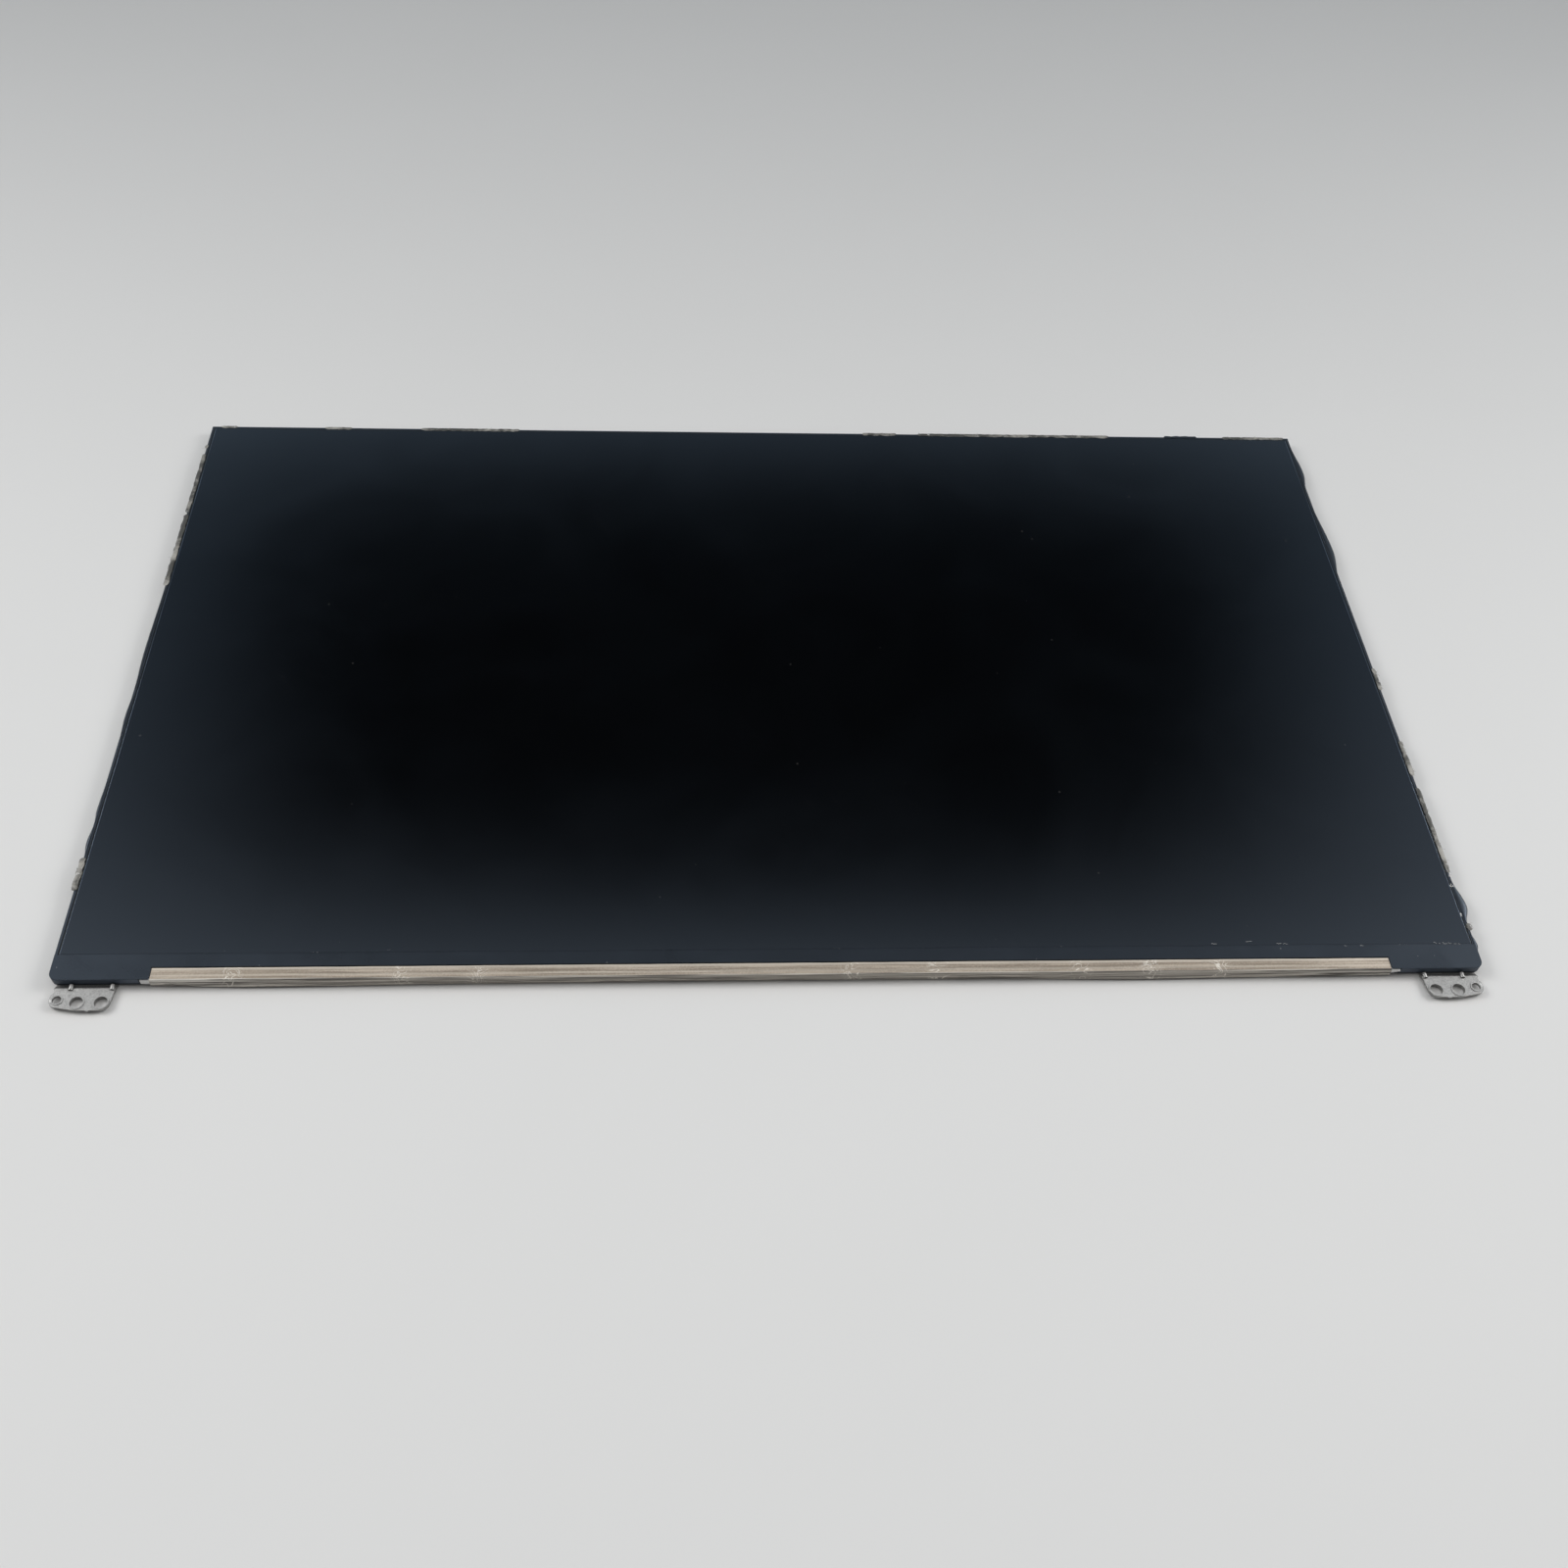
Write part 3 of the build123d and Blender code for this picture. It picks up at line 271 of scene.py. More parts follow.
# Light layers: a white reflector, the acrylic light guide with printed dots, a diffuser and two prism films.
# They lie loose in the frame, cut from sheet, and the frame's ledge holds their edges down.


def sheet_finish(name, low, high, roughness, size, depth, stretch=(1, 1, 1), **values):
    """Plastic sheet or film: a fine relief, cloudy colour and an even gloss."""
    finish, tree, where = new_finish(name, **values)
    drawn = grain(tree, where, size, stretch)
    lay_on(tree, Base_Color=mix_colours(tree, drawn["Patches"], low, high),
           Roughness=spread(tree, drawn["Patches"], 0.3, 0.7, roughness - 0.05, roughness + 0.05),
           Normal=relief(tree, drawn["Height"], depth))
    return finish


show_solid("reflector_sheet", sheet_finish("white_reflector", (0.84, 0.85, 0.86, 1), (0.90, 0.90, 0.90, 1),
                                           0.32, 0.3 * mm, 0.003 * mm))
show_solid("diffuser_sheet", sheet_finish("diffuser_film", (0.74, 0.75, 0.77, 1), (0.80, 0.81, 0.82, 1),
                                          0.60, 0.08 * mm, 0.004 * mm))
show_solid("lower_prism", sheet_finish("lower_prism_film", (0.66, 0.68, 0.70, 1), (0.72, 0.74, 0.76, 1),
                                       0.22, 0.05 * mm, 0.02 * mm, (0.01, 1, 1)))
show_solid("upper_prism", sheet_finish("upper_prism_film", (0.66, 0.68, 0.70, 1), (0.72, 0.74, 0.76, 1),
                                       0.22, 0.05 * mm, 0.02 * mm, (1, 0.01, 1)))

guide_finish, tree, where = new_finish("dotted_light_guide", IOR=1.49, Transmission_Weight=0.85)
dots = place(tree, "ShaderNodeTexVoronoi", {"Vector": where, "Scale": 1 / (0.4 * mm), "Randomness": 0.35})
printed = spread(tree, dots.outputs["Distance"], 0.22, 0.30, 1.0, 0.0)
lay_on(tree, Base_Color=mix_colours(tree, printed, (0.90, 0.93, 0.95, 1), (0.82, 0.84, 0.84, 1)),
       Roughness=spread(tree, printed, 0.0, 1.0, 0.06, 0.55))
show_solid("light_guide", guide_finish)

# Light bar: a white flexible strip with a row of small side-lit diodes along the guide's lower edge.
# Its tail bends round to the back and plugs into a small socket on the board.

flex_finish, tree, where = new_finish("white_flex_strip")
tracks = place(tree, "ShaderNodeTexWave", {"Vector": where, "Scale": 1.0 / mm, "Distortion": 0.0},
               bands_direction="Y").outputs[0]
masked = grain(tree, where, 0.1 * mm)
lay_on(tree, Base_Color=mix_colours(tree, spread(tree, tracks, 0.55, 0.75, 0.0, 1.0), (0.72, 0.71, 0.66, 1),
                                    (0.80, 0.79, 0.75, 1)),
       Roughness=spread(tree, masked["Patches"], 0.3, 0.7, 0.32, 0.46),
       Normal=relief(tree, tracks, 0.01 * mm))
show_solid("led_flex", flex_finish)

diode_finish, tree, where = new_finish("phosphor_diode", IOR=1.5)
gel = grain(tree, where, 0.06 * mm)
lay_on(tree, Base_Color=mix_colours(tree, gel["Patches"], (0.86, 0.70, 0.16, 1), (0.90, 0.82, 0.40, 1)),
       Roughness=spread(tree, gel["Height"], 0.3, 0.7, 0.25, 0.45),
       Normal=relief(tree, gel["Height"], 0.01 * mm))
add_piece("light_diodes", rounded_solid("leds", 0.05 * mm), diode_finish, "led_phosphor", "leds")

# Cell: two sheets of display glass bonded face to face, with a polarizing film on each side.
# A black tape seals its rim to the frame, and the front film has a fine matt coat against glare.

seal_finish = sheet_finish("black_rim_tape", (0.010, 0.010, 0.011, 1), (0.018, 0.018, 0.020, 1),
                           0.55, 0.1 * mm, 0.004 * mm)
show_solid("rim_tape", seal_finish)
rear_finish = sheet_finish("rear_polarizer", (0.030, 0.034, 0.036, 1), (0.040, 0.044, 0.046, 1),
                           0.20, 0.2 * mm, 0.002 * mm)
show_solid("rear_polarizer", rear_finish)

glass_finish, tree, where = new_finish("dark_cell_glass", IOR=1.52)
ground = grain(tree, where, 0.05 * mm)
lay_on(tree, Base_Color=mix_colours(tree, ground["Patches"], (0.006, 0.008, 0.009, 1),
                                    (0.012, 0.016, 0.017, 1)),
       Roughness=spread(tree, ground["Height"], 0.3, 0.7, 0.06, 0.16),
       Normal=relief(tree, ground["Height"], 0.002 * mm))
show_solid("tft_glass", glass_finish)
show_solid("color_filter_glass", glass_finish)


def clouds(tree, where, scale, detail, **more):
    """Soft noise over a surface; scale is in waves to the metre."""
    inputs = {"Vector": where, "Scale": scale, "Detail": detail, **more}
    return place(tree, "ShaderNodeTexNoise", inputs).outputs[0]


face_low, face_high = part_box("front_polarizer")
face_finish, tree, where = new_finish("matt_front_film", IOR=1.68, Specular_Tint=(0.62, 0.78, 1.0, 1))
matt = grain(tree, where, 0.06 * mm)
hairline = scratches(tree, where, 30 * mm, 0.9)
lint = dust(tree, where, 3.0 * mm, 0.06)
wiped = clouds(tree, where, 22.0, 5.0, Distortion=1.2)
black_state = mix_colours(tree, matt["Patches"], (0.0008, 0.0009, 0.0011, 1), (0.0013, 0.0015, 0.0018, 1))
scuffed = mix_colours(tree, calc(tree, "MULTIPLY", hairline, 0.10), black_state, (0.03, 0.03, 0.035, 1))
from_middle = calc(tree, "ABSOLUTE", place(tree, "ShaderNodeSeparateXYZ", {"Vector": where}).outputs["X"])
# Painted highlight: a thin lighter bluish line along the film's left and right edges, where its rounded edge
# catches light.
film_highlight_start = face_high.x - 0.22 * mm
film_edge_highlight = calc(tree, "MULTIPLY", spread(tree, from_middle, film_highlight_start, film_highlight_start + 0.06 * mm, 0.0, 1.0),
                spread(tree, wiped, 0.42, 0.58, 0.25, 1.0))
dusty = mix_colours(tree, calc(tree, "MULTIPLY", lint, 0.3), scuffed, (0.08, 0.075, 0.07, 1))
lay_on(tree, Base_Color=mix_colours(tree, film_edge_highlight, dusty, (0.050, 0.066, 0.095, 1)),
       Roughness=spread(tree, wiped, 0.3, 0.7, 0.11, 0.14),
       Normal=relief(tree, matt["Height"], 0.0004 * mm))
add_piece("front_film", rounded_solid("front_polarizer", 0.06 * mm), face_finish, "antiglare_film",
          "front_polarizer")

# Mask film: a strip of black polyester that covers the bottom ledge below the front film.
# It is punched round the tape at the bottom edge and stuck on, with its corners rounded.

mask_finish, tree, where = new_finish("black_mask_film", IOR=1.58, Specular_Tint=(0.62, 0.78, 1.0, 1))
film = grain(tree, where, 0.10 * mm)
nicks = scratches(tree, where, 9 * mm, 0.1)
crumbs = dust(tree, where, 2.4 * mm, 0.12)
inked = mix_colours(tree, film["Patches"], (0.0030, 0.0034, 0.0042, 1), (0.0050, 0.0056, 0.0068, 1))
nicked = mix_colours(tree, calc(tree, "MULTIPLY", nicks, 0.25), inked, (0.04, 0.042, 0.046, 1))
lay_on(tree, Base_Color=mix_colours(tree, crumbs, nicked, (0.14, 0.14, 0.14, 1)),
       Roughness=spread(tree, film["Patches"], 0.3, 0.7, 0.26, 0.36),
       Normal=relief(tree, film["Height"], 0.001 * mm))
add_piece("mask_strip", rounded_solid("mask_film", 0.05 * mm), mask_finish, "mask_black", "mask_film")

# Driver films: four amber polyimide films bonded to the glass edge and bent round to the board.
# Each carries fine copper tracks and one long black driver chip.

driver_finish, tree, where = new_finish("amber_driver_film", IOR=1.7)
lines = place(tree, "ShaderNodeTexWave", {"Vector": where, "Scale": 2.0 / mm}, bands_direction="X").outputs[0]
amber = mix_colours(tree, spread(tree, lines, 0.4, 0.6, 0.0, 1.0), (0.30, 0.13, 0.035, 1),
                    (0.46, 0.24, 0.08, 1))
lay_on(tree, Base_Color=amber, Roughness=spread(tree, lines, 0.0, 1.0, 0.24, 0.40),
       Normal=relief(tree, lines, 0.006 * mm))
show_solid("driver_films", driver_finish)


def chip_finish(name, body, grit):
    """Moulded epoxy or fired ceramic: grainy, matt and slightly cloudy."""
    finish, tree, where = new_finish(name)
    cast = grain(tree, where, 0.05 * mm)
    pale = tuple(min(1.0, channel * 1.6) for channel in body)
    lay_on(tree, Base_Color=mix_colours(tree, cast["Height"], (*body, 1), (*pale, 1)),
           Roughness=spread(tree, cast["Height"], 0.3, 0.7, 0.40, 0.60),
           Normal=relief(tree, cast["Height"], grit))
    return finish


epoxy_finish = chip_finish("black_epoxy_chip", (0.018, 0.018, 0.019), 0.010 * mm)
add_piece("driver_dies", rounded_solid("driver_chips", 0.03 * mm), epoxy_finish, "chip_black", "driver_chips")

# White edge film: a thin polyester film laid over the driver films before the tape goes on.
# Its ends stick out past the tape at the fold, one cut square and one torn to a point.

panel_low, panel_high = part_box("mold_frame")
bottom_edge = panel_low.y
edge_low, edge_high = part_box("edge_film")
tape_low, tape_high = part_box("conductive_tape")


def grid_mesh(name, rows, left_out=()):
    """Four-sided faces over rows of points, with a map that runs along and across them in metres."""
    across = len(rows[0])
    faces = [(i * across + j, i * across + j + 1, (i + 1) * across + j + 1, (i + 1) * across + j)
             for i in range(len(rows) - 1) for j in range(across - 1) if (i, j) not in left_out]
    mesh = bpy.data.meshes.new(name)
    mesh.from_pydata([point for row in rows for point in row], [], faces)
    laid = []
    run = 0.0
    for i, row in enumerate(rows):
        run += (Vector(row[across // 2]) - Vector(rows[max(i - 1, 0)][across // 2])).length
        reach = 0.0
        for j, point in enumerate(row):
            reach += (Vector(point) - Vector(row[max(j - 1, 0)])).length
            laid.append((run, reach))
    layer = mesh.uv_layers.new(name="laid_flat")
    for loop in mesh.loops:
        layer.data[loop.index].uv = laid[loop.vertex_index]
    mesh.validate()
    return mesh


def thicken(mesh, thickness):
    """Gives a sheet its thickness, inward from its outer face."""
    maker = on_bench(mesh.name, mesh)
    wall = maker.modifiers.new("sheet thickness", "SOLIDIFY")
    wall.thickness = thickness
    wall.offset = -1.0
    wall.use_even_offset = True
    mesh = settle(maker)
    smooth(mesh, 50)
    return mesh


def quarter_turn(steps):
    """Sines and cosines of a right-angled bend, without its start."""
    turns = [math.pi / 2 * k / steps for k in range(1, steps + 1)]
    return [(math.sin(turn), math.cos(turn)) for turn in turns]


def film_row(x):
    """Points across the edge film at one place: over the top, round the fold and down the front."""
    fold = edge_low.y
    bend = 0.35 * mm
    past_tape = abs(x) > tape_high.x
    torn = max(0.0, x - tape_high.x) / (edge_high.x - tape_high.x)
    curl = 0.22 * mm * torn ** 2
    back = fold + 0.5 * mm if past_tape else edge_high.y
    skirt = edge_low.z + 0.95 * mm * torn
    lift = 0.03 * mm * noise.noise((x * 700, 2.0, 0.5)) if past_tape else 0.0
    row = [(x, back + (fold + bend - back) * k / 4, edge_high.z + lift) for k in range(5)]
    row += [(x, fold + bend - bend * s - curl * k / 4, edge_high.z + lift - bend + bend * c)
            for k, (s, c) in enumerate(quarter_turn(4), 1)]
    top = edge_high.z - bend + lift
    row += [(x, fold - curl, top + (skirt - top) * k / 4) for k in range(1, 5)]
    return row


film_stations = [edge_low.x + 0.25 * mm * k for k in range(9)]
film_stations += [tape_low.x + 0.05 * mm + (tape_high.x - tape_low.x) * k / 60 for k in range(60)]
film_stations += [tape_high.x + 0.05 * mm + 0.195 * mm * k for k in range(11)]
white_finish, tree, where = new_finish("white_polyester_film", IOR=1.6)
pressed = grain(tree, where, 0.15 * mm, (0.3, 1, 1))
soiled = spread(tree, pressed["Patches"], 0.45, 0.70, 0.0, 1.0)
lay_on(tree, Base_Color=mix_colours(tree, soiled, (0.78, 0.78, 0.77, 1), (0.58, 0.57, 0.55, 1)),
       Roughness=spread(tree, pressed["Height"], 0.3, 0.7, 0.30, 0.45),
       Normal=relief(tree, pressed["Height"], 0.006 * mm))
film_rows = [film_row(x) for x in film_stations]
add_piece("white_edge_film", thicken(grid_mesh("white_edge_film", film_rows), 0.05 * mm), white_finish,
          "white_film", "edge_film")

# Seam: adhesive of the mask film squeezed up into the narrow gap below the front film.
# It set nearly flush, and sank lower toward the ends of the seam.

seam_gap = face_low.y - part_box("mask_film")[1].y
seam_lap = 0.03 * mm
seam_middle = face_low.y - seam_gap / 2
seam_steps = 300
seam_rows = []
for k in range(seam_steps + 1):
    x = face_low.x + (face_high.x - face_low.x) * k / seam_steps
    sunk = 0.5 + 0.5 * noise.noise((x * 45, 0.4, 2.6)) + 0.5 * (x / face_high.x) ** 2
    level = face_high.z - (0.010 + 0.050 * max(0.0, sunk - 0.55)) * mm
    seam_rows.append([(x, seam_middle + (seam_gap + seam_lap) * (0.5 - j / 4), level) for j in range(5)])
add_piece("seam_adhesive", thicken(grid_mesh("seam_adhesive", seam_rows), 0.06 * mm), mask_finish,
          "mask_black")

# Folded film ends: beside the tape the mask film runs on over the front edge and is pressed down on the wall.
# Its colour is painted lighter and bluish than the black film, a painted reflection of the lit table on the
# wall; its lower edge is cut just above the brackets.

wall_film_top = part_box("mask_film")[1].z - 0.05 * mm
wall_film_foot = 1.12 * mm
wall_film_steps = 40
wall_film_drops = 6
corner_round = 1.3 * mm
off_edge_film = 0.4 * mm
wall_film_ends = ((panel_low.x + corner_round, edge_low.x - off_edge_film),
                  (edge_high.x + off_edge_film, panel_high.x - corner_round))
folded_finish, tree, where = new_finish("folded_mask_film", IOR=1.58, Specular_Tint=(0.62, 0.78, 1.0, 1))
stretched = grain(tree, where, 0.12 * mm, (0.2, 1, 1))
# Painted reflection: the black film's colour is lifted to a bluish grey.
painted_wall_reflection = mix_colours(tree, stretched["Patches"], (0.034, 0.045, 0.064, 1), (0.052, 0.067, 0.092, 1))
lay_on(tree, Base_Color=painted_wall_reflection, Roughness=spread(tree, stretched["Patches"], 0.3, 0.7, 0.30, 0.42),
       Normal=relief(tree, stretched["Height"], 0.003 * mm))
for side, (start, end) in zip(("left", "right"), wall_film_ends):
    folded_rows = []
    for k in range(wall_film_steps + 1):
        x = start + (end - start) * k / wall_film_steps
        loose = 0.02 * mm + 0.03 * mm * (0.5 + 0.5 * noise.noise((x * 300, 1.1, 0.2)))
        drops = [j / wall_film_drops for j in range(wall_film_drops + 1)]
        folded_rows.append([(x, bottom_edge - 0.012 * mm - loose * drop,
                             wall_film_top + (wall_film_foot - wall_film_top) * drop) for drop in drops])
    add_piece(side + "_folded_film", thicken(grid_mesh(side + "_folded_film", folded_rows), 0.05 * mm),
              folded_finish, "mask_black")

# Conductive tape: metal-plated cloth tape folded over the bottom edge, from the face round to the board.
# It was pressed on by hand, so its front bulges and creases, and it ends short of both corners.

tape_bulges = ((-1.0, 0.08), (-0.84, 0.60), (-0.52, 0.18), (0.02, 0.04), (0.34, 0.10), (0.58, 0.60),
               (0.82, 0.28), (1.0, 0.08))
rub_places = (-0.875, -0.61, -0.49, 0.11, 0.25, 0.484, 0.60, 0.714)
tape_fold = bottom_edge - 0.28 * mm
tape_front = bottom_edge + 2.90 * mm
tape_back = tape_high.y
fold_bend = 0.34 * mm
foot_bend = 0.20 * mm


def front_bulge(share):
    """How far the tape's front stands out at its lower edge, from the left end to the right."""
    for (before, low), (after, high) in zip(tape_bulges, tape_bulges[1:]):
        if share <= after:
            step = (share - before) / (after - before)
            return (low + (high - low) * step * step * (3 - 2 * step)) * mm
    return tape_bulges[-1][1] * mm


def tape_row(x):
    """Points across the tape at one place: over the face, round the fold, down the front, under the board."""
    bulge = front_bulge(x / tape_high.x)
    lip = tape_front + 0.05 * mm * noise.noise((x * 130, 0.3, 0.0))
    row = []
    for k in range(12):
        y = lip + (tape_fold + fold_bend - lip) * k / 11
        pressed = 0.022 * mm * noise.noise((x * 160, y * 900, 1.7))
        pressed += 0.010 * mm * noise.noise((x * 620, y * 1500, 4.1))
        under_film = 0.030 * mm * max(0.0, min(1.0, (y - tape_front + 1.5 * mm) / (0.25 * mm)))
        row.append((x, y, tape_high.z - 0.005 * mm + pressed - under_film))
    for s, c in quarter_turn(5):
        row.append((x, tape_fold + fold_bend - fold_bend * s, tape_high.z - fold_bend + fold_bend * c))
    top, low = tape_high.z - fold_bend, tape_low.z + foot_bend
    for k in range(1, 17):
        t = k / 16
        ridge = max(0.0, 1.0 - 3.4 * abs(noise.noise((x * 62, t * 2.1 + x * 9, 0.7)))) ** 2
        dimple = 0.5 + 0.5 * noise.noise((x * 210, t * 1.6, 5.2))
        crease = math.sin(math.pi * t) * (0.17 * ridge + 0.05 * dimple) * mm
        row.append((x, tape_fold - bulge * t ** 1.4 - crease, top + (low - top) * t))
    for s, c in quarter_turn(4):
        row.append((x, tape_fold - bulge + foot_bend - foot_bend * c, low - foot_bend * s))
    start = tape_fold - bulge + foot_bend
    row += [(x, start + (tape_back - start) * k / 6, tape_low.z) for k in range(1, 7)]
    return row


tape_steps = 420
tape_length = tape_high.x - tape_low.x
tape_rows = [tape_row(tape_low.x + tape_length * k / tape_steps) for k in range(tape_steps + 1)]
cloth_finish, tree, where = new_finish("plated_cloth_tape", Metallic=0.35)
flat = place(tree, "ShaderNodeUVMap", uv_map="laid_flat").outputs[0]
thread = 0.14 * mm
threads = {"Vector": flat, "Scale": 0.314 / thread}
warp = place(tree, "ShaderNodeTexWave", threads, bands_direction="X").outputs[0]
weft = place(tree, "ShaderNodeTexWave", threads, bands_direction="Y").outputs[0]
over = place(tree, "ShaderNodeTexChecker", {"Vector": flat, "Scale": 1 / thread}).outputs["Fac"]
weave = place(tree, "ShaderNodeMix", {0: over, 2: warp, 3: weft}, data_type="FLOAT").outputs[0]
drawn = grain(tree, where, 0.45 * mm, (0.02, 1, 1))
speckled = clouds(tree, where, 2600.0, 2.0)
swirl = clouds(tree, where, 320.0, 1.0, Distortion=2.0)
scribble = spread(tree, calc(tree, "ABSOLUTE", calc(tree, "SUBTRACT", swirl, 0.5)), 0.0, 0.040, 1.0, 0.0)
along_tape = place(tree, "ShaderNodeSeparateXYZ", {"Vector": where}).outputs["X"]
handled = 0.0
for share in rub_places:
    off = calc(tree, "ABSOLUTE", calc(tree, "SUBTRACT", along_tape, share * tape_high.x))
    handled = calc(tree, "MAXIMUM", handled, spread(tree, off, 1.0 * mm, 2.8 * mm, 0.85, 0.0))
creased = calc(tree, "MULTIPLY", scribble, handled)
streaks = calc(tree, "ADD", calc(tree, "MULTIPLY", drawn["Height"], 0.75),
               calc(tree, "MULTIPLY", speckled, 0.25))
plated = mix_colours(tree, spread(tree, streaks, 0.40, 0.60, 0.0, 1.0), (0.262, 0.214, 0.165, 1),
                     (0.500, 0.424, 0.343, 1))
tarnished = mix_colours(tree, spread(tree, drawn["Patches"], 0.45, 0.75, 0.0, 0.55), plated,
                        (0.262, 0.210, 0.152, 1))
down = place(tree, "ShaderNodeSeparateXYZ", {"Vector": flat}).outputs["Y"]
fold_reach = tape_front - tape_fold - fold_bend
# Painted highlights: the flange is painted lighter along its top edge, and in a thin line 0.9 mm before the
# fold, where light catches it.
painted_edge_highlight = spread(tree, down, 0.15 * mm, 0.80 * mm, 0.75, 0.0)
from_ridge = calc(tree, "ABSOLUTE", calc(tree, "SUBTRACT", down, fold_reach - 0.9 * mm))
painted_ridge_highlight = spread(tree, from_ridge, 0.10 * mm, 0.40 * mm, 0.30, 0.0)
flange_with_painted_highlights = mix_colours(tree, calc(tree, "MAXIMUM", painted_edge_highlight, painted_ridge_highlight), tarnished,
                      (0.66, 0.60, 0.52, 1))
# Painted shade and highlights: the web is painted in dark and light lines along the tape for the shading of
# its creases, with stronger lines near the tape's ends.
ruck_place = place(tree, "ShaderNodeVectorMath", {0: flat, 1: (40.0, 2400.0, 0.0)},
                   operation="MULTIPLY").outputs[0]
rucked = clouds(tree, ruck_place, 1.0, 3.0, Distortion=0.7)
web_painted_crease_shading = mix_colours(tree, spread(tree, rucked, 0.40, 0.60, 0.0, 1.0), (0.145, 0.136, 0.122, 1),
                    (0.545, 0.505, 0.450, 1))
ends_painted_crease_shading = mix_colours(tree, spread(tree, rucked, 0.44, 0.56, 0.0, 1.0), (0.035, 0.033, 0.030, 1),
                      (0.74, 0.71, 0.65, 1))
near_end = spread(tree, calc(tree, "ABSOLUTE", along_tape), tape_high.x - 30 * mm, tape_high.x - 12 * mm,
                  0.0, 0.8)
# Painted shade: the web's darker colour starts just before the fold, so the shade of the bend is painted onto
# the flange's end.
painted_fold_shade = spread(tree, down, fold_reach - 0.14 * mm, fold_reach - 0.06 * mm, 0.0, 0.9)
fronted = mix_colours(tree, painted_fold_shade, flange_with_painted_highlights, mix_colours(tree, near_end, web_painted_crease_shading, ends_painted_crease_shading))
lay_on(tree, Base_Color=mix_colours(tree, creased, fronted, (0.82, 0.77, 0.69, 1)),
       Roughness=spread(tree, drawn["Height"], 0.3, 0.7, 0.36, 0.54),
       Normal=relief(tree, calc(tree, "ADD", calc(tree, "MULTIPLY", weave, 0.30),
                                calc(tree, "ADD", drawn["Height"], creased)), 0.012 * mm))
add_piece("conductive_tape_folded", thicken(grid_mesh("conductive_tape_folded", tape_rows), 0.09 * mm),
          cloth_finish, "conductive_cloth", "conductive_tape")

# Circuit board: a long thin green board behind the bottom edge, stuck to the tray with white tape.
# It carries the timing, power and light chips, coils, capacitors and the small socket of the light bar.

board_finish, tree, where = new_finish("green_solder_mask", IOR=1.5)
tracks = place(tree, "ShaderNodeTexBrick", {"Vector": where, "Scale": 420.0, "Color1": (0, 0, 0, 1),
                                            "Color2": (1, 1, 1, 1), "Mortar": (0.5, 0.5, 0.5, 1),
                                            "Mortar Size": 0.02, "Bias": -0.3}).outputs["Color"]
etched = grain(tree, where, 0.08 * mm)
lay_on(tree, Base_Color=mix_colours(tree, tracks, (0.010, 0.075, 0.035, 1), (0.020, 0.130, 0.060, 1)),
       Roughness=spread(tree, etched["Patches"], 0.3, 0.7, 0.25, 0.38),
       Normal=relief(tree, tracks, 0.015 * mm))
show_solid("timing_board", board_finish)
show_solid("board_tape", white_finish)
for chip in ("timing_chip", "power_chip", "light_chip"):
    add_piece(chip + "_body", rounded_solid(chip, 0.05 * mm), epoxy_finish, "chip_black", chip)
add_piece("coils", rounded_solid("inductors", 0.08 * mm),
          chip_finish("grey_ferrite", (0.09, 0.09, 0.095), 0.02 * mm), "ferrite_grey", "inductors")
add_piece("capacitor_rows", rounded_solid("capacitors", 0.05 * mm),
          chip_finish("tan_ceramic", (0.33, 0.24, 0.15), 0.008 * mm), "capacitor_tan", "capacitors")
add_piece("light_bar_socket", rounded_solid("light_socket", 0.06 * mm),
          chip_finish("beige_nylon", (0.52, 0.46, 0.36), 0.004 * mm), "socket_beige", "light_socket")

# Signal socket: a low black housing in a steel shell, with a row of thirty gold-plated contacts.
# The shell's feet and the contact tails are soldered to the board.

add_piece("socket_housing", rounded_solid("input_housing", 0.05 * mm),
          chip_finish("black_socket_nylon", (0.022, 0.022, 0.023), 0.004 * mm), "socket_black",
          "input_housing")
add_piece("socket_shell", rounded_solid("input_shell", 0.02 * mm),
          steel_finish("tinned_socket_shell", (0.68, 0.68, 0.67, 1), (0.56, 0.56, 0.55, 1), 0.26, (0.2, 1, 1),
                       0.08 * mm), "shell_steel", "input_shell")
gold_finish, tree, where = new_finish("gold_plated_contacts", Metallic=1.0)
worn = grain(tree, where, 0.05 * mm, (1, 0.2, 1))
lay_on(tree, Base_Color=mix_colours(tree, worn["Patches"], (0.72, 0.50, 0.20, 1), (0.86, 0.65, 0.30, 1)),
       Roughness=spread(tree, worn["Height"], 0.3, 0.7, 0.20, 0.36),
       Normal=relief(tree, worn["Height"], 0.002 * mm))
show_solid("input_contacts", gold_finish)


def loose_boxes(name):
    """The plan outlines of the separate bodies in one CAD solid."""
    shape = bmesh.new()
    shape.from_mesh(solids[name].data)
    bmesh.ops.remove_doubles(shape, verts=shape.verts, dist=0.001 * mm)
    unseen = set(shape.verts)
    boxes = []
    while unseen:
        island = [unseen.pop()]
        for vertex in island:
            for edge in vertex.link_edges:
                other = edge.other_vert(vertex)
                if other in unseen:
                    unseen.discard(other)
                    island.append(other)
        xs = [v.co.x for v in island]
        ys = [v.co.y for v in island]
        boxes.append((min(xs), max(xs), min(ys), max(ys)))
    shape.free()
    return boxes


def new_recipe(name, inputs):
    """Starts a geometry node tree whose sizes are named inputs."""
    recipe = bpy.data.node_groups.new(name, "GeometryNodeTree")
    for socket, kind in {"Base": "Geometry", **inputs}.items():
        recipe.interface.new_socket(socket, in_out="INPUT", socket_type="NodeSocket" + kind)
    recipe.interface.new_socket("Made", in_out="OUTPUT", socket_type="NodeSocketGeometry")
    return recipe, recipe.nodes.new("NodeGroupInput").outputs, recipe.nodes.new("NodeGroupOutput").inputs


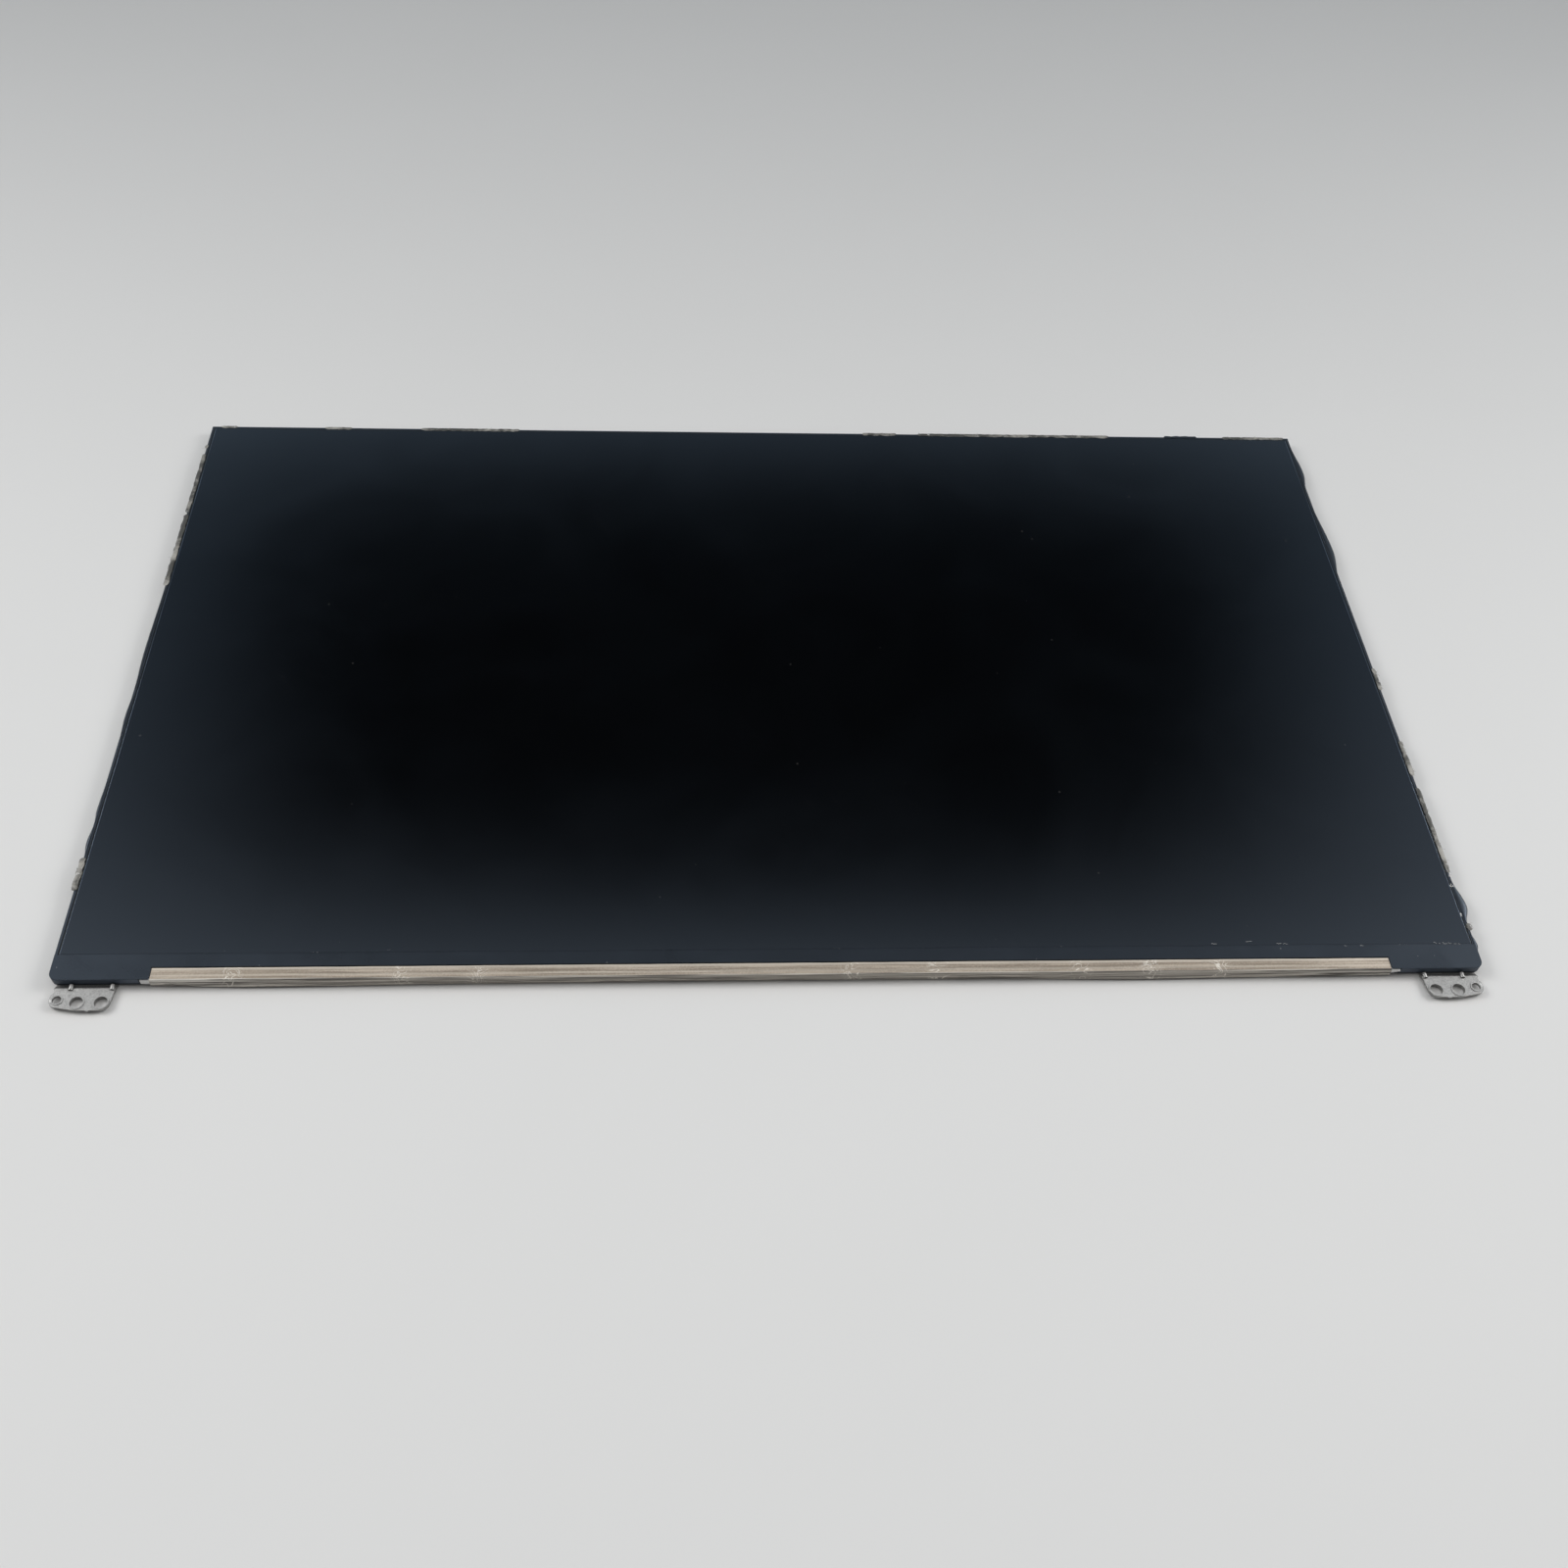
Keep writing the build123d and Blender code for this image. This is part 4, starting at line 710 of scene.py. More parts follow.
def end_recipe(recipe, instances, finish, made):
    """Makes repeated shapes real and gives them their material, as the last steps of a tree."""
    real = place(recipe, "GeometryNodeRealizeInstances", {"Geometry": instances}).outputs[0]
    dressed = place(recipe, "GeometryNodeSetMaterial", {"Geometry": real, "Material": finish}).outputs[0]
    recipe.links.new(dressed, made)


def run_recipe(recipe, name, base, sizes):
    """Runs a tree on a base mesh with its sizes and gives back a plain mesh."""
    maker = on_bench(name, base)
    step = maker.modifiers.new(name, "NODES")
    step.node_group = recipe
    for item in recipe.interface.items_tree:
        if item.in_out == "INPUT" and item.name in sizes:
            step[item.identifier] = sizes[item.name]
    return settle(maker)


def points_mesh(name, points):
    """Bare points that a tree puts shapes on."""
    mesh = bpy.data.meshes.new(name)
    mesh.from_pydata(points, [], [])
    return mesh


joint_recipe, joint_in, joint_made = new_recipe(
    "solder_joints", {"Width": "Float", "Length": "Float", "Height": "Float", "Finish": "Material"})
joint_dome = place(joint_recipe, "GeometryNodeMeshUVSphere",
                   {"Segments": 12, "Rings": 6, "Radius": 1.0}).outputs[0]
joint_form = place(joint_recipe, "ShaderNodeCombineXYZ", {0: joint_in["Width"], 1: joint_in["Length"],
                                                          2: joint_in["Height"]}).outputs[0]
joint_spots = place(joint_recipe, "GeometryNodeMeshToPoints", {"Mesh": joint_in["Base"]}).outputs[0]
joint_laid = place(joint_recipe, "GeometryNodeInstanceOnPoints",
                   {"Points": joint_spots, "Instance": joint_dome, "Scale": joint_form}).outputs[0]
end_recipe(joint_recipe, joint_laid, joint_in["Finish"], joint_made["Made"])
board_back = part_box("timing_board")[0].z
tail_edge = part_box("input_contacts")[0].y
joint_reach = 0.35 * mm
joint_rise = 0.02 * mm
joint_places = [((x0 + x1) / 2, y0 + joint_reach, board_back - joint_rise)
                for x0, x1, y0, y1 in loose_boxes("input_contacts") if y0 < tail_edge + 0.1 * mm]
solder_finish = steel_finish("bright_solder", (0.70, 0.70, 0.68, 1), (0.58, 0.58, 0.57, 1), 0.24, (1, 1, 1),
                             0.06 * mm)
joint_sizes = {"Width": 0.16 * mm, "Length": 0.40 * mm, "Height": 0.09 * mm, "Finish": solder_finish}
joint_mesh = run_recipe(joint_recipe, "solder_joints", points_mesh("solder_joints", joint_places),
                        joint_sizes)
smooth(joint_mesh, 80)
add_piece("solder_joints", joint_mesh, solder_finish, "shell_steel")

# Board cover: a black insulating film stuck over the board from the tape to the tray.
# It rests on the taller parts and sags between them, with a window cut out for the signal socket.

cover_low, cover_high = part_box("board_cover")
tall_parts = ("timing_chip", "power_chip", "light_chip", "inductors", "light_socket", "capacitors")
under_cover = [box for name in tall_parts for box in loose_boxes(name)]
window_low, window_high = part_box("input_shell")
sag_span = 4.5 * mm
deepest_sag = 0.26 * mm


def cover_sag(x, y):
    """How far the film sinks toward the board away from the parts that hold it up."""
    clear = min(math.hypot(max(x0 - x, 0, x - x1), max(y0 - y, 0, y - y1)) for x0, x1, y0, y1 in under_cover)
    share = min(1.0, clear / sag_span)
    return deepest_sag * share * share * (3 - 2 * share)


def cover_level(y):
    """The film's outer level across its width: stuck on the tape, over the parts, and down to the tray."""
    steps = ((2.8, 0.27), (3.7, 0.27), (4.3, 0.0), (10.8, 0.0), (12.2, 0.80), (15.0, 0.80))
    reach = (y - bottom_edge) / mm
    for (before, low), (after, high) in zip(steps, steps[1:]):
        if reach <= after:
            step = max(0.0, (reach - before) / (after - before))
            return (low + (high - low) * step) * mm
    return steps[-1][1] * mm


def cover_point(x, y):
    """One point of the film's outer face, with its sag and the small waves of a film laid by hand."""
    stuck = cover_level(y)
    free = max(0.0, 1.0 - stuck / (0.27 * mm))
    wave = 0.02 * mm * (0.5 + 0.5 * noise.noise((x * 120, y * 300, 2.2)))
    return (x, y, stuck + free * (cover_sag(x, y) + wave))


cover_reaches = (2.8, 3.25, 3.7, 4.0, 4.3, 4.7, 5.4, 6.1, 6.8, 7.5, 8.2, 8.9, 9.6, 10.2, 10.8, 11.3, 11.8,
                 12.2, 12.9, 13.7, 14.4, 15.0)
cover_ys = [bottom_edge + reach * mm for reach in cover_reaches]
cover_steps = 250
cover_xs = [cover_low.x + (cover_high.x - cover_low.x) * k / cover_steps for k in range(cover_steps + 1)]
window_margin = 1.5 * mm
window_start, window_end = window_low.x - window_margin, window_high.x + window_margin
window_foot = bottom_edge + 4.6 * mm
cut_out = {(i, j) for i in range(cover_steps) for j in range(len(cover_ys) - 1)
           if window_start <= cover_xs[i] and cover_xs[i + 1] <= window_end and cover_ys[j] > window_foot}
cover_mesh = grid_mesh("board_cover_film", [[cover_point(x, y) for y in cover_ys] for x in cover_xs], cut_out)
cover_finish, tree, where = new_finish("black_insulating_film", IOR=1.6)
glazed = grain(tree, where, 0.2 * mm)
dull = scratches(tree, where, 10 * mm, 0.2)
settled = dust(tree, where, 1.8 * mm, 0.30)
film_black = mix_colours(tree, glazed["Patches"], (0.007, 0.007, 0.008, 1), (0.020, 0.020, 0.021, 1))
dulled = mix_colours(tree, calc(tree, "MULTIPLY", dull, 0.6), film_black, (0.10, 0.10, 0.10, 1))
lay_on(tree, Base_Color=mix_colours(tree, settled, dulled, (0.20, 0.19, 0.18, 1)),
       Roughness=spread(tree, glazed["Patches"], 0.35, 0.65, 0.18, 0.42),
       Normal=relief(tree, glazed["Height"], 0.006 * mm))
add_piece("board_cover_film", thicken(cover_mesh, 0.05 * mm), cover_finish, "cover_black", "board_cover")

# Fixing brackets: plates stamped from plated steel, welded to the tray at the two lower corners.
# Each has two screw holes and a locating hole with pressed rims, and two lanced ears along its bend.

bracket_finish, tree, where = new_finish("satin_plated_bracket", Metallic=0.75)
tumbled = grain(tree, where, 0.30 * mm)
handled = scratches(tree, where, 5 * mm, 1.1)
spots = dust(tree, where, 0.9 * mm, 0.30)
satin = mix_colours(tree, spread(tree, tumbled["Height"], 0.3, 0.7, 0.0, 1.0), (0.215, 0.213, 0.209, 1),
                    (0.395, 0.391, 0.382, 1))
rubbed = mix_colours(tree, calc(tree, "MULTIPLY", handled, 0.45), satin, (0.68, 0.68, 0.67, 1))
lay_on(tree, Base_Color=mix_colours(tree, spots, rubbed, (0.62, 0.61, 0.59, 1)),
       Roughness=spread(tree, tumbled["Height"], 0.3, 0.7, 0.36, 0.50),
       Normal=relief(tree, calc(tree, "SUBTRACT", tumbled["Height"], handled), 0.010 * mm))
for side in ("left", "right"):
    add_piece(side + "_fixing_bracket", rounded_solid(side + "_bracket", 0.05 * mm), bracket_finish,
              "bracket_steel", side + "_bracket")


def ring(recipe, corners, radius):
    """A circle of a few corners, as a path or as the section of a thread."""
    return place(recipe, "GeometryNodeCurvePrimitiveCircle", {"Resolution": corners, "Radius": radius},
                 mode="RADIUS").outputs[0]


weld_recipe, weld_in, weld_made = new_recipe(
    "spot_welds", {"Radius": "Float", "Depth": "Float", "Finish": "Material"})
weld_ring = place(weld_recipe, "GeometryNodeCurveToMesh",
                  {"Curve": ring(weld_recipe, 20, weld_in["Radius"]),
                   "Profile Curve": ring(weld_recipe, 6, weld_in["Depth"])}).outputs[0]
weld_dome = place(weld_recipe, "GeometryNodeMeshUVSphere",
                  {"Segments": 20, "Rings": 8, "Radius": weld_in["Radius"]}).outputs[0]
weld_flat = place(weld_recipe, "ShaderNodeCombineXYZ", {0: 0.86, 1: 0.86, 2: 0.06}).outputs[0]
weld_nugget = place(weld_recipe, "GeometryNodeTransform",
                    {"Geometry": weld_dome, "Scale": weld_flat}).outputs[0]
weld_mark = place(weld_recipe, "GeometryNodeJoinGeometry")
weld_recipe.links.new(weld_ring, weld_mark.inputs[0])
weld_recipe.links.new(weld_nugget, weld_mark.inputs[0])
weld_spots = place(weld_recipe, "GeometryNodeMeshToPoints", {"Mesh": weld_in["Base"]}).outputs[0]
weld_laid = place(weld_recipe, "GeometryNodeInstanceOnPoints",
                  {"Points": weld_spots, "Instance": weld_mark.outputs[0]}).outputs[0]
end_recipe(weld_recipe, weld_laid, weld_in["Finish"], weld_made["Made"])
weld_pattern = ((3.6, 26.5), (5.4, 20.0), (3.6, 15.5), (11.8, 8.6), (8.6, 7.0))
weld_level = 0.35 * mm
weld_places = [(side * (panel_high.x - inset * mm), bottom_edge + rise * mm, weld_level)
               for side in (-1, 1) for inset, rise in weld_pattern]
weld_mesh = run_recipe(weld_recipe, "weld_marks", points_mesh("weld_marks", weld_places),
                       {"Radius": 0.9 * mm, "Depth": 0.05 * mm, "Finish": bracket_finish})
smooth(weld_mesh, 60)
add_piece("weld_marks", weld_mesh, bracket_finish, "bracket_steel")

# Torn black tape: what is left of the tape that wrapped the sides, pulled loose when the bezel came off.
# It still sticks along the rim and the foot of the wall, and stands out between in smooth buckles.

rim_level = panel_high.z
half_side = (panel_high.y - panel_low.y) / 2
middle = (panel_high.y + panel_low.y) / 2
left_buckles = ((0.290, 0.043, -0.097, 0.50), (-0.120, -0.194, -0.270, 0.42),
                (-0.410, -0.500, -0.544, 0.40), (-0.550, -0.603, -0.647, 0.60))
right_buckles = ((0.960, 0.835, 0.755, 1.25), (0.670, 0.475, 0.365, 1.50), (-0.740, -0.815, -0.868, 1.70),
                 (-0.900, -0.932, -0.954, 0.70))


def bezier(points, t):
    """A point on a smooth curve that its control points pull."""
    while len(points) > 1:
        points = [a + (b - a) * t for a, b in zip(points, points[1:])]
    return points[0]


def buckle_rows(side, start, crown, end, reach):
    """Rows of points over one buckle, from the rim over its crest to the foot of the wall."""
    rows = []
    steps = max(12, int(abs(start - end) * half_side / (0.45 * mm)))
    for k in range(steps + 1):
        share = start + (end - start) * k / steps
        rise = (share - start) / (crown - start) if share > crown else (share - end) / (crown - end)
        y = middle + half_side * share
        puff = reach * mm * max(0.0, math.sin(math.pi / 2 * rise)) ** 1.5
        puff += 0.06 * mm * (0.5 + 0.5 * noise.noise((y * 700, side * 3.0, 0.4)))
        inner = 0.28 * mm + 0.16 * mm * noise.noise((y * 520, side * 7.0, 1.9))
        foot = 0.95 * mm + 0.25 * mm * (0.5 + 0.5 * noise.noise((y * 450, side * 5.0, 3.3)))
        pulls = [Vector((panel_high.x - inner, y, rim_level + 0.03 * mm)),
                 Vector((panel_high.x + 0.2 * puff, y, rim_level + 0.06 * mm)),
                 Vector((panel_high.x + 1.25 * puff, y, rim_level - 0.05 * mm)),
                 Vector((panel_high.x + 1.25 * puff, y, rim_level - 0.75 * mm)),
                 Vector((panel_high.x + 0.05 * mm, y, foot))]
        points = [bezier(pulls, j / 12) for j in range(13)]
        rows.append([(side * p.x, p.y, p.z) for p in points])
    return rows if side > 0 else rows[::-1]


def joined(name, meshes):
    """Several meshes as one."""
    shape = bmesh.new()
    for mesh in meshes:
        shape.from_mesh(mesh)
    mesh = bpy.data.meshes.new(name)
    shape.to_mesh(mesh)
    shape.free()
    return mesh


torn_finish, tree, where = new_finish("torn_black_tape", IOR=1.42, Specular_Tint=(0.58, 0.76, 1.0, 1))
pulled = grain(tree, where, 0.10 * mm, (1, 0.4, 1))
linty = dust(tree, where, 0.8 * mm, 0.16)
lay_on(tree, Base_Color=mix_colours(tree, linty, (0.007, 0.007, 0.008, 1), (0.22, 0.21, 0.20, 1)),
       Roughness=spread(tree, pulled["Patches"], 0.3, 0.7, 0.22, 0.38),
       Normal=relief(tree, pulled["Height"], 0.010 * mm))
for name, side, buckles in (("left", -1, left_buckles), ("right", 1, right_buckles)):
    strips = [grid_mesh("buckle", buckle_rows(side, *buckle)) for buckle in buckles]
    add_piece(name + "_torn_tape", thicken(joined(name + "_torn_tape", strips), 0.05 * mm), torn_finish,
              "torn_black_tape", name + "_tape")

# Glue left on the rim: clear adhesive that held the bezel, pulled into thin ragged strips.
# It clings to the frame's rim, hangs over the edge in places, and has picked up crumbs and fibres.

left_runs = ((0.910, 0.894, 0.50, 0.55), (0.867, 0.603, 0.60, 0.60), (0.593, 0.296, 0.75, 0.70),
             (-0.652, -0.749, 0.75, 0.85))
right_runs = ((-0.011, -0.092, 0.55, 0.60), (-0.280, -0.400, 0.60, 0.70), (-0.442, -0.717, 0.55, 0.60),
              (-0.871, -0.892, 0.50, 0.90))
top_runs = ((-0.985, -0.956, 0.70, 0.50), (-0.798, -0.750, 0.80, 0.45), (-0.624, -0.446, 0.90, 0.45),
            (0.190, 0.253, 0.90, 0.50), (0.294, 0.655, 0.90, 0.50), (0.874, 0.991, 0.90, 0.50))


def glue_rows(across, start, end, inward, outward):
    """Rows of points over one strip of glue; across turns a place along the edge and a reach into a point."""
    length = abs(end - start)
    steps = max(10, int(length / (0.30 * mm)))
    rows = []
    for k in range(steps + 1):
        spot = start + (end - start) * k / steps
        from_end = min(k, steps - k) / steps * length
        full = min(1.0, 0.35 + from_end / (0.6 * mm))
        ragged = 0.85 + 0.45 * noise.noise((spot * 600, inward * 9, 0.2))
        ragged += 0.25 * noise.noise((spot * 2600, 1.0, 6.0))
        bitten = 0.85 + 0.45 * noise.noise((spot * 700, outward * 9, 8.0))
        bitten += 0.25 * noise.noise((spot * 2200, 4.0, 2.0))
        reach_out = outward * mm * full * max(0.40, min(1.0, ragged))
        reach_in = inward * mm * full * max(0.40, min(1.0, bitten))
        row = []
        for j in range(7):
            reach = -reach_in + (reach_in + reach_out) * j / 6
            lump = 0.5 + 0.5 * noise.noise((spot * 1300, reach * 2400, 3.0))
            hang = -0.22 * mm * max(0.0, reach / mm) ** 2
            row.append(across(spot, reach, rim_level + (0.03 + 0.06 * lump) * mm + hang))
        rows.append(row)
    return rows


glue_finish, tree, where = new_finish("clear_torn_glue", IOR=1.48, Transmission_Weight=0.15)
gummy = grain(tree, where, 0.25 * mm)
cloudy = clouds(tree, where, 210.0, 4.0, Roughness=0.65)
milky = spread(tree, cloudy, 0.46, 0.66, 0.0, 1.0)
lay_on(tree, Base_Color=mix_colours(tree, milky, (0.060, 0.056, 0.046, 1), (0.42, 0.40, 0.36, 1)),
       Roughness=spread(tree, cloudy, 0.3, 0.7, 0.28, 0.55), Normal=relief(tree, gummy["Height"], 0.05 * mm))
glue_strips = {}
for name, side, runs in (("left", -1, left_runs), ("right", 1, right_runs)):
    strips = []
    for start, end, inward, outward in runs:
        rows = glue_rows(lambda spot, reach, level: (side * (panel_high.x + reach), spot, level),
                         middle + half_side * start, middle + half_side * end, inward, outward)
        strips.append(grid_mesh("glue", rows if side > 0 else rows[::-1]))
    glue_strips[name] = joined(name + "_glue_strips", strips)


def top_strip(start, end, inward, outward):
    """One strip that clings to the top rim."""
    rows = glue_rows(lambda spot, reach, level: (spot, panel_high.y + reach, level),
                     panel_high.x * start, panel_high.x * end, inward, outward)
    return grid_mesh("strip", rows[::-1])


glue_strips["top"] = joined("top_glue_strips", [top_strip(*run) for run in top_runs])
top_tear = (0.762, 0.824, 0.60, 0.75)
add_piece("top_torn_tape", thicken(top_strip(*top_tear), 0.05 * mm), torn_finish, "torn_black_tape")
fibre_beds = {name: strip.copy() for name, strip in glue_strips.items()}
for name, strip in glue_strips.items():
    add_piece(name + "_glue_strips", thicken(strip, 0.035 * mm), glue_finish, "clear_glue", name + "_glue")

# Crumbs and fibres: grit and lint caught on the torn glue, along the front film's lower edge and on the face.
# They are loose bits of paper, glue and dust, a tenth of a millimetre or so across.


def strew(recipe, sizes, made, shape, scale, turn_seed):
    """Ends a tree that strews a shape over a surface, each one turned its own way."""
    spots = place(recipe, "GeometryNodeDistributePointsOnFaces",
                  {"Mesh": sizes["Base"], "Density": sizes["Density"], "Seed": sizes["Seed"]}).outputs[0]
    turn = place(recipe, "FunctionNodeRandomValue", {0: (0, 0, 0), 1: (0, 0, 6.28), "Seed": turn_seed},
                 data_type="FLOAT_VECTOR").outputs[0]
    laid = place(recipe, "GeometryNodeInstanceOnPoints",
                 {"Points": spots, "Instance": shape, "Rotation": turn, "Scale": scale}).outputs[0]
    end_recipe(recipe, laid, sizes["Finish"], made["Made"])


def drawn_size(recipe, smallest, largest, seed):
    """A size drawn for each copy."""
    return place(recipe, "FunctionNodeRandomValue", {2: smallest, 3: largest, "Seed": seed},
                 data_type="FLOAT").outputs[1]


crumb_recipe, crumb_in, crumb_made = new_recipe(
    "scattered_crumbs", {"Density": "Float", "Smallest": "Float", "Largest": "Float", "Seed": "Int",
                         "Finish": "Material"})
crumb_shape = place(crumb_recipe, "GeometryNodeMeshIcoSphere", {"Radius": 1.0, "Subdivisions": 1}).outputs[0]
crumb_size = drawn_size(crumb_recipe, crumb_in["Smallest"], crumb_in["Largest"], crumb_in["Seed"])
crumb_form = place(crumb_recipe, "FunctionNodeRandomValue",
                   {0: (0.5, 0.4, 0.15), 1: (1.6, 1.0, 0.40), "Seed": 11},
                   data_type="FLOAT_VECTOR").outputs[0]
crumb_scale = place(crumb_recipe, "ShaderNodeVectorMath", {0: crumb_form, "Scale": crumb_size},
                    operation="SCALE").outputs[0]
strew(crumb_recipe, crumb_in, crumb_made, crumb_shape, crumb_scale, 23)

crumb_finish, tree, where = new_finish("pale_crumbs")
gritty = grain(tree, where, 0.05 * mm)
lay_on(tree, Base_Color=mix_colours(tree, gritty["Height"], (0.42, 0.41, 0.39, 1), (0.72, 0.71, 0.69, 1)),
       Roughness=spread(tree, gritty["Height"], 0.3, 0.7, 0.6, 0.8),
       Normal=relief(tree, gritty["Height"], 0.02 * mm))


def strew_crumbs(name, bed, slot, density, smallest, largest, seed):
    """Strews crumbs over a bed and adds them as one piece; their sizes are half widths."""
    sizes = {"Density": density, "Smallest": smallest, "Largest": largest, "Seed": seed,
             "Finish": crumb_finish}
    add_piece(name, run_recipe(crumb_recipe, name, bed, sizes), crumb_finish, slot)


def patch(name, x0, x1, y0, y1, level):
    """A flat four-cornered sheet at one level."""
    mesh = bpy.data.meshes.new(name)
    mesh.from_pydata([(x0, y0, level), (x1, y0, level), (x1, y1, level), (x0, y1, level)], [], [(0, 1, 2, 3)])
    return mesh


seam_spots = ((-122.2, 7.1), (-119.4, 9.1), (-102.7, 6.5), (-89.0, 6.8), (-86.0, 6.8), (-34.0, 6.5),
              (12.0, 6.6), (62.0, 6.5), (97.8, 6.9), (105.5, 7.3), (113.0, 6.7), (141.0, 6.4), (151.0, 6.5))
seam_beds = joined("seam_crumbs", [
    patch("seam", (x - 1.0) * mm, (x + 1.0) * mm, bottom_edge + (y - 0.25) * mm,
          bottom_edge + (y + 0.25) * mm, face_high.z - 0.01 * mm) for x, y in seam_spots])
strew_crumbs("seam_crumbs", seam_beds, "white_film", 3.0e6, 0.02 * mm, 0.065 * mm, 4)
face_bed = patch("face_specks", face_low.x, face_high.x, face_low.y, face_high.y, face_high.z - 0.005 * mm)
strew_crumbs("face_specks", face_bed, "white_film", 420.0, 0.02 * mm, 0.04 * mm, 9)

left_flakes = [(-panel_high.x - 0.2 * mm, middle + half_side * share)
               for share in (0.864, 0.606, 0.300, -0.700)]
right_spots = ((-0.030, 0.2), (-0.060, 0.3), (-0.300, 0.3), (-0.390, 0.2), (-0.690, 0.3), (-0.725, 0.1),
               (-0.755, -0.5), (-0.845, -0.9), (-0.880, 0.6))
right_flakes = [(panel_high.x + reach * mm, middle + half_side * share) for share, reach in right_spots]
top_flakes = [(x * mm, panel_high.y - 0.3 * mm) for x in (-152.0, 33.5, 49.7, 64.0, 72.5, 79.3)]
flake_half = 0.35 * mm
flake_beds = joined("loose_flakes", [
    patch("flake", x - flake_half, x + flake_half, y - flake_half, y + flake_half, rim_level + 0.05 * mm)
    for x, y in left_flakes + right_flakes + top_flakes])
strew_crumbs("loose_flakes", flake_beds, "clear_glue", 6.0e6, 0.12 * mm, 0.28 * mm, 2)

thread_recipe, thread_in, thread_made = new_recipe("drawn_threads", {"Radius": "Float", "Finish": "Material"})
thread_line = place(thread_recipe, "GeometryNodeMeshToCurve", {"Mesh": thread_in["Base"]}).outputs[0]
thread_solid = place(thread_recipe, "GeometryNodeCurveToMesh",
                     {"Curve": thread_line, "Profile Curve": ring(thread_recipe, 6, thread_in["Radius"]),
                      "Fill Caps": True}).outputs[0]
end_recipe(thread_recipe, thread_solid, thread_in["Finish"], thread_made["Made"])
thread_runs = ((96.8, 98.0, 6.90, 6.86), (104.8, 106.2, 7.36, 7.38), (111.8, 112.9, 6.74, 6.80),
               (113.4, 114.3, 6.80, 6.72), (127.3, 127.8, 6.24, 6.20), (130.9, 131.7, 6.16, 6.10),
               (148.2, 148.9, 6.76, 6.62), (149.4, 149.8, 6.50, 6.58), (150.3, 151.3, 6.62, 6.46),
               (151.6, 152.3, 6.54, 6.44), (152.9, 153.5, 6.36, 6.30), (153.9, 154.3, 6.34, 6.24))
thread_points, thread_edges = [], []
for start, end, first, last in thread_runs:
    steps = int((end - start) / 0.10)
    for k in range(steps + 1):
        x = start + (end - start) * k / steps
        y = first + (last - first) * k / steps + 0.30 * noise.noise((x * 2.6, first, 0.3))
        thread_points.append((x * mm, bottom_edge + y * mm, face_high.z - 0.004 * mm))
        if k:
            thread_edges.append((len(thread_points) - 2, len(thread_points) - 1))
thread_mesh = bpy.data.meshes.new("glue_threads")
thread_mesh.from_pydata(thread_points, thread_edges, [])
thread_mesh = run_recipe(thread_recipe, "glue_threads", thread_mesh,
                         {"Radius": 0.040 * mm, "Finish": crumb_finish})
smooth(thread_mesh, 60)
add_piece("glue_threads", thread_mesh, crumb_finish, "clear_glue")

fibre_recipe, fibre_in, fibre_made = new_recipe(
    "caught_fibres", {"Density": "Float", "Shortest": "Float", "Longest": "Float", "Slimness": "Float",
                      "Seed": "Int", "Finish": "Material"})
fibre_line = place(fibre_recipe, "GeometryNodeCurveQuadraticBezier",
                   {"Resolution": 5, "Start": (0, 0, 0), "Middle": (0.55, 0.30, 0.02),
                    "End": (1, 0.05, -0.05)}).outputs[0]
fibre_shape = place(fibre_recipe, "GeometryNodeCurveToMesh",
                    {"Curve": fibre_line, "Profile Curve": ring(fibre_recipe, 4, fibre_in["Slimness"]),
                     "Fill Caps": True}).outputs[0]
fibre_length = drawn_size(fibre_recipe, fibre_in["Shortest"], fibre_in["Longest"], fibre_in["Seed"])
strew(fibre_recipe, fibre_in, fibre_made, fibre_shape, fibre_length, 31)

fibre_finish, tree, where = new_finish("grey_lint")
spun = grain(tree, where, 0.20 * mm)
faded = spread(tree, spun["Height"], 0.35, 0.65, 0.0, 1.0)
lay_on(tree, Base_Color=mix_colours(tree, faded, (0.10, 0.092, 0.078, 1), (0.44, 0.42, 0.38, 1)),
       Roughness=spread(tree, spun["Height"], 0.3, 0.7, 0.6, 0.8),
       Normal=relief(tree, spun["Height"], 0.01 * mm))
caught = (("left", 1.2e6, 1.5e6), ("right", 6.0e6, 4.0e6), ("top", 0.8e6, 0.8e6))
for name, fibre_density, crumb_density in caught:
    fibres = run_recipe(fibre_recipe, name + "_fibres", fibre_beds[name],
                        {"Density": fibre_density, "Shortest": 0.35 * mm, "Longest": 1.0 * mm,
                         "Slimness": 0.028, "Seed": 7, "Finish": fibre_finish})
    add_piece(name + "_fibres", fibres, fibre_finish, "clear_glue")
    strew_crumbs(name + "_crumbs", fibre_beds[name], "clear_glue", crumb_density, 0.03 * mm, 0.11 * mm, 5)

# Floor, light and camera: a pale matt table under a soft white tent with a dark opening above the far side.
# The camera stands where the photograph was taken.

floor_half = 12
floor_mesh = patch("table", -floor_half, floor_half, -floor_half, floor_half, 0)
floor = bpy.data.objects.new("table", floor_mesh)
bpy.context.scene.collection.objects.link(floor)
floor_finish, tree, where = new_finish("pale_table", Specular_IOR_Level=0.2)
laid = grain(tree, where, 1.5 * mm)
lay_on(tree, Base_Color=mix_colours(tree, laid["Patches"], (0.725, 0.718, 0.706, 1),
                                    (0.755, 0.748, 0.736, 1)),
       Roughness=spread(tree, laid["Height"], 0.3, 0.7, 0.55, 0.70))
floor_mesh.materials.append(floor_finish)

tent = bpy.data.worlds.new("white_tent")
bpy.context.scene.world = tent
tent.use_nodes = True
tree = tent.node_tree
toward = place(tree, "ShaderNodeTexCoord").outputs["Generated"]


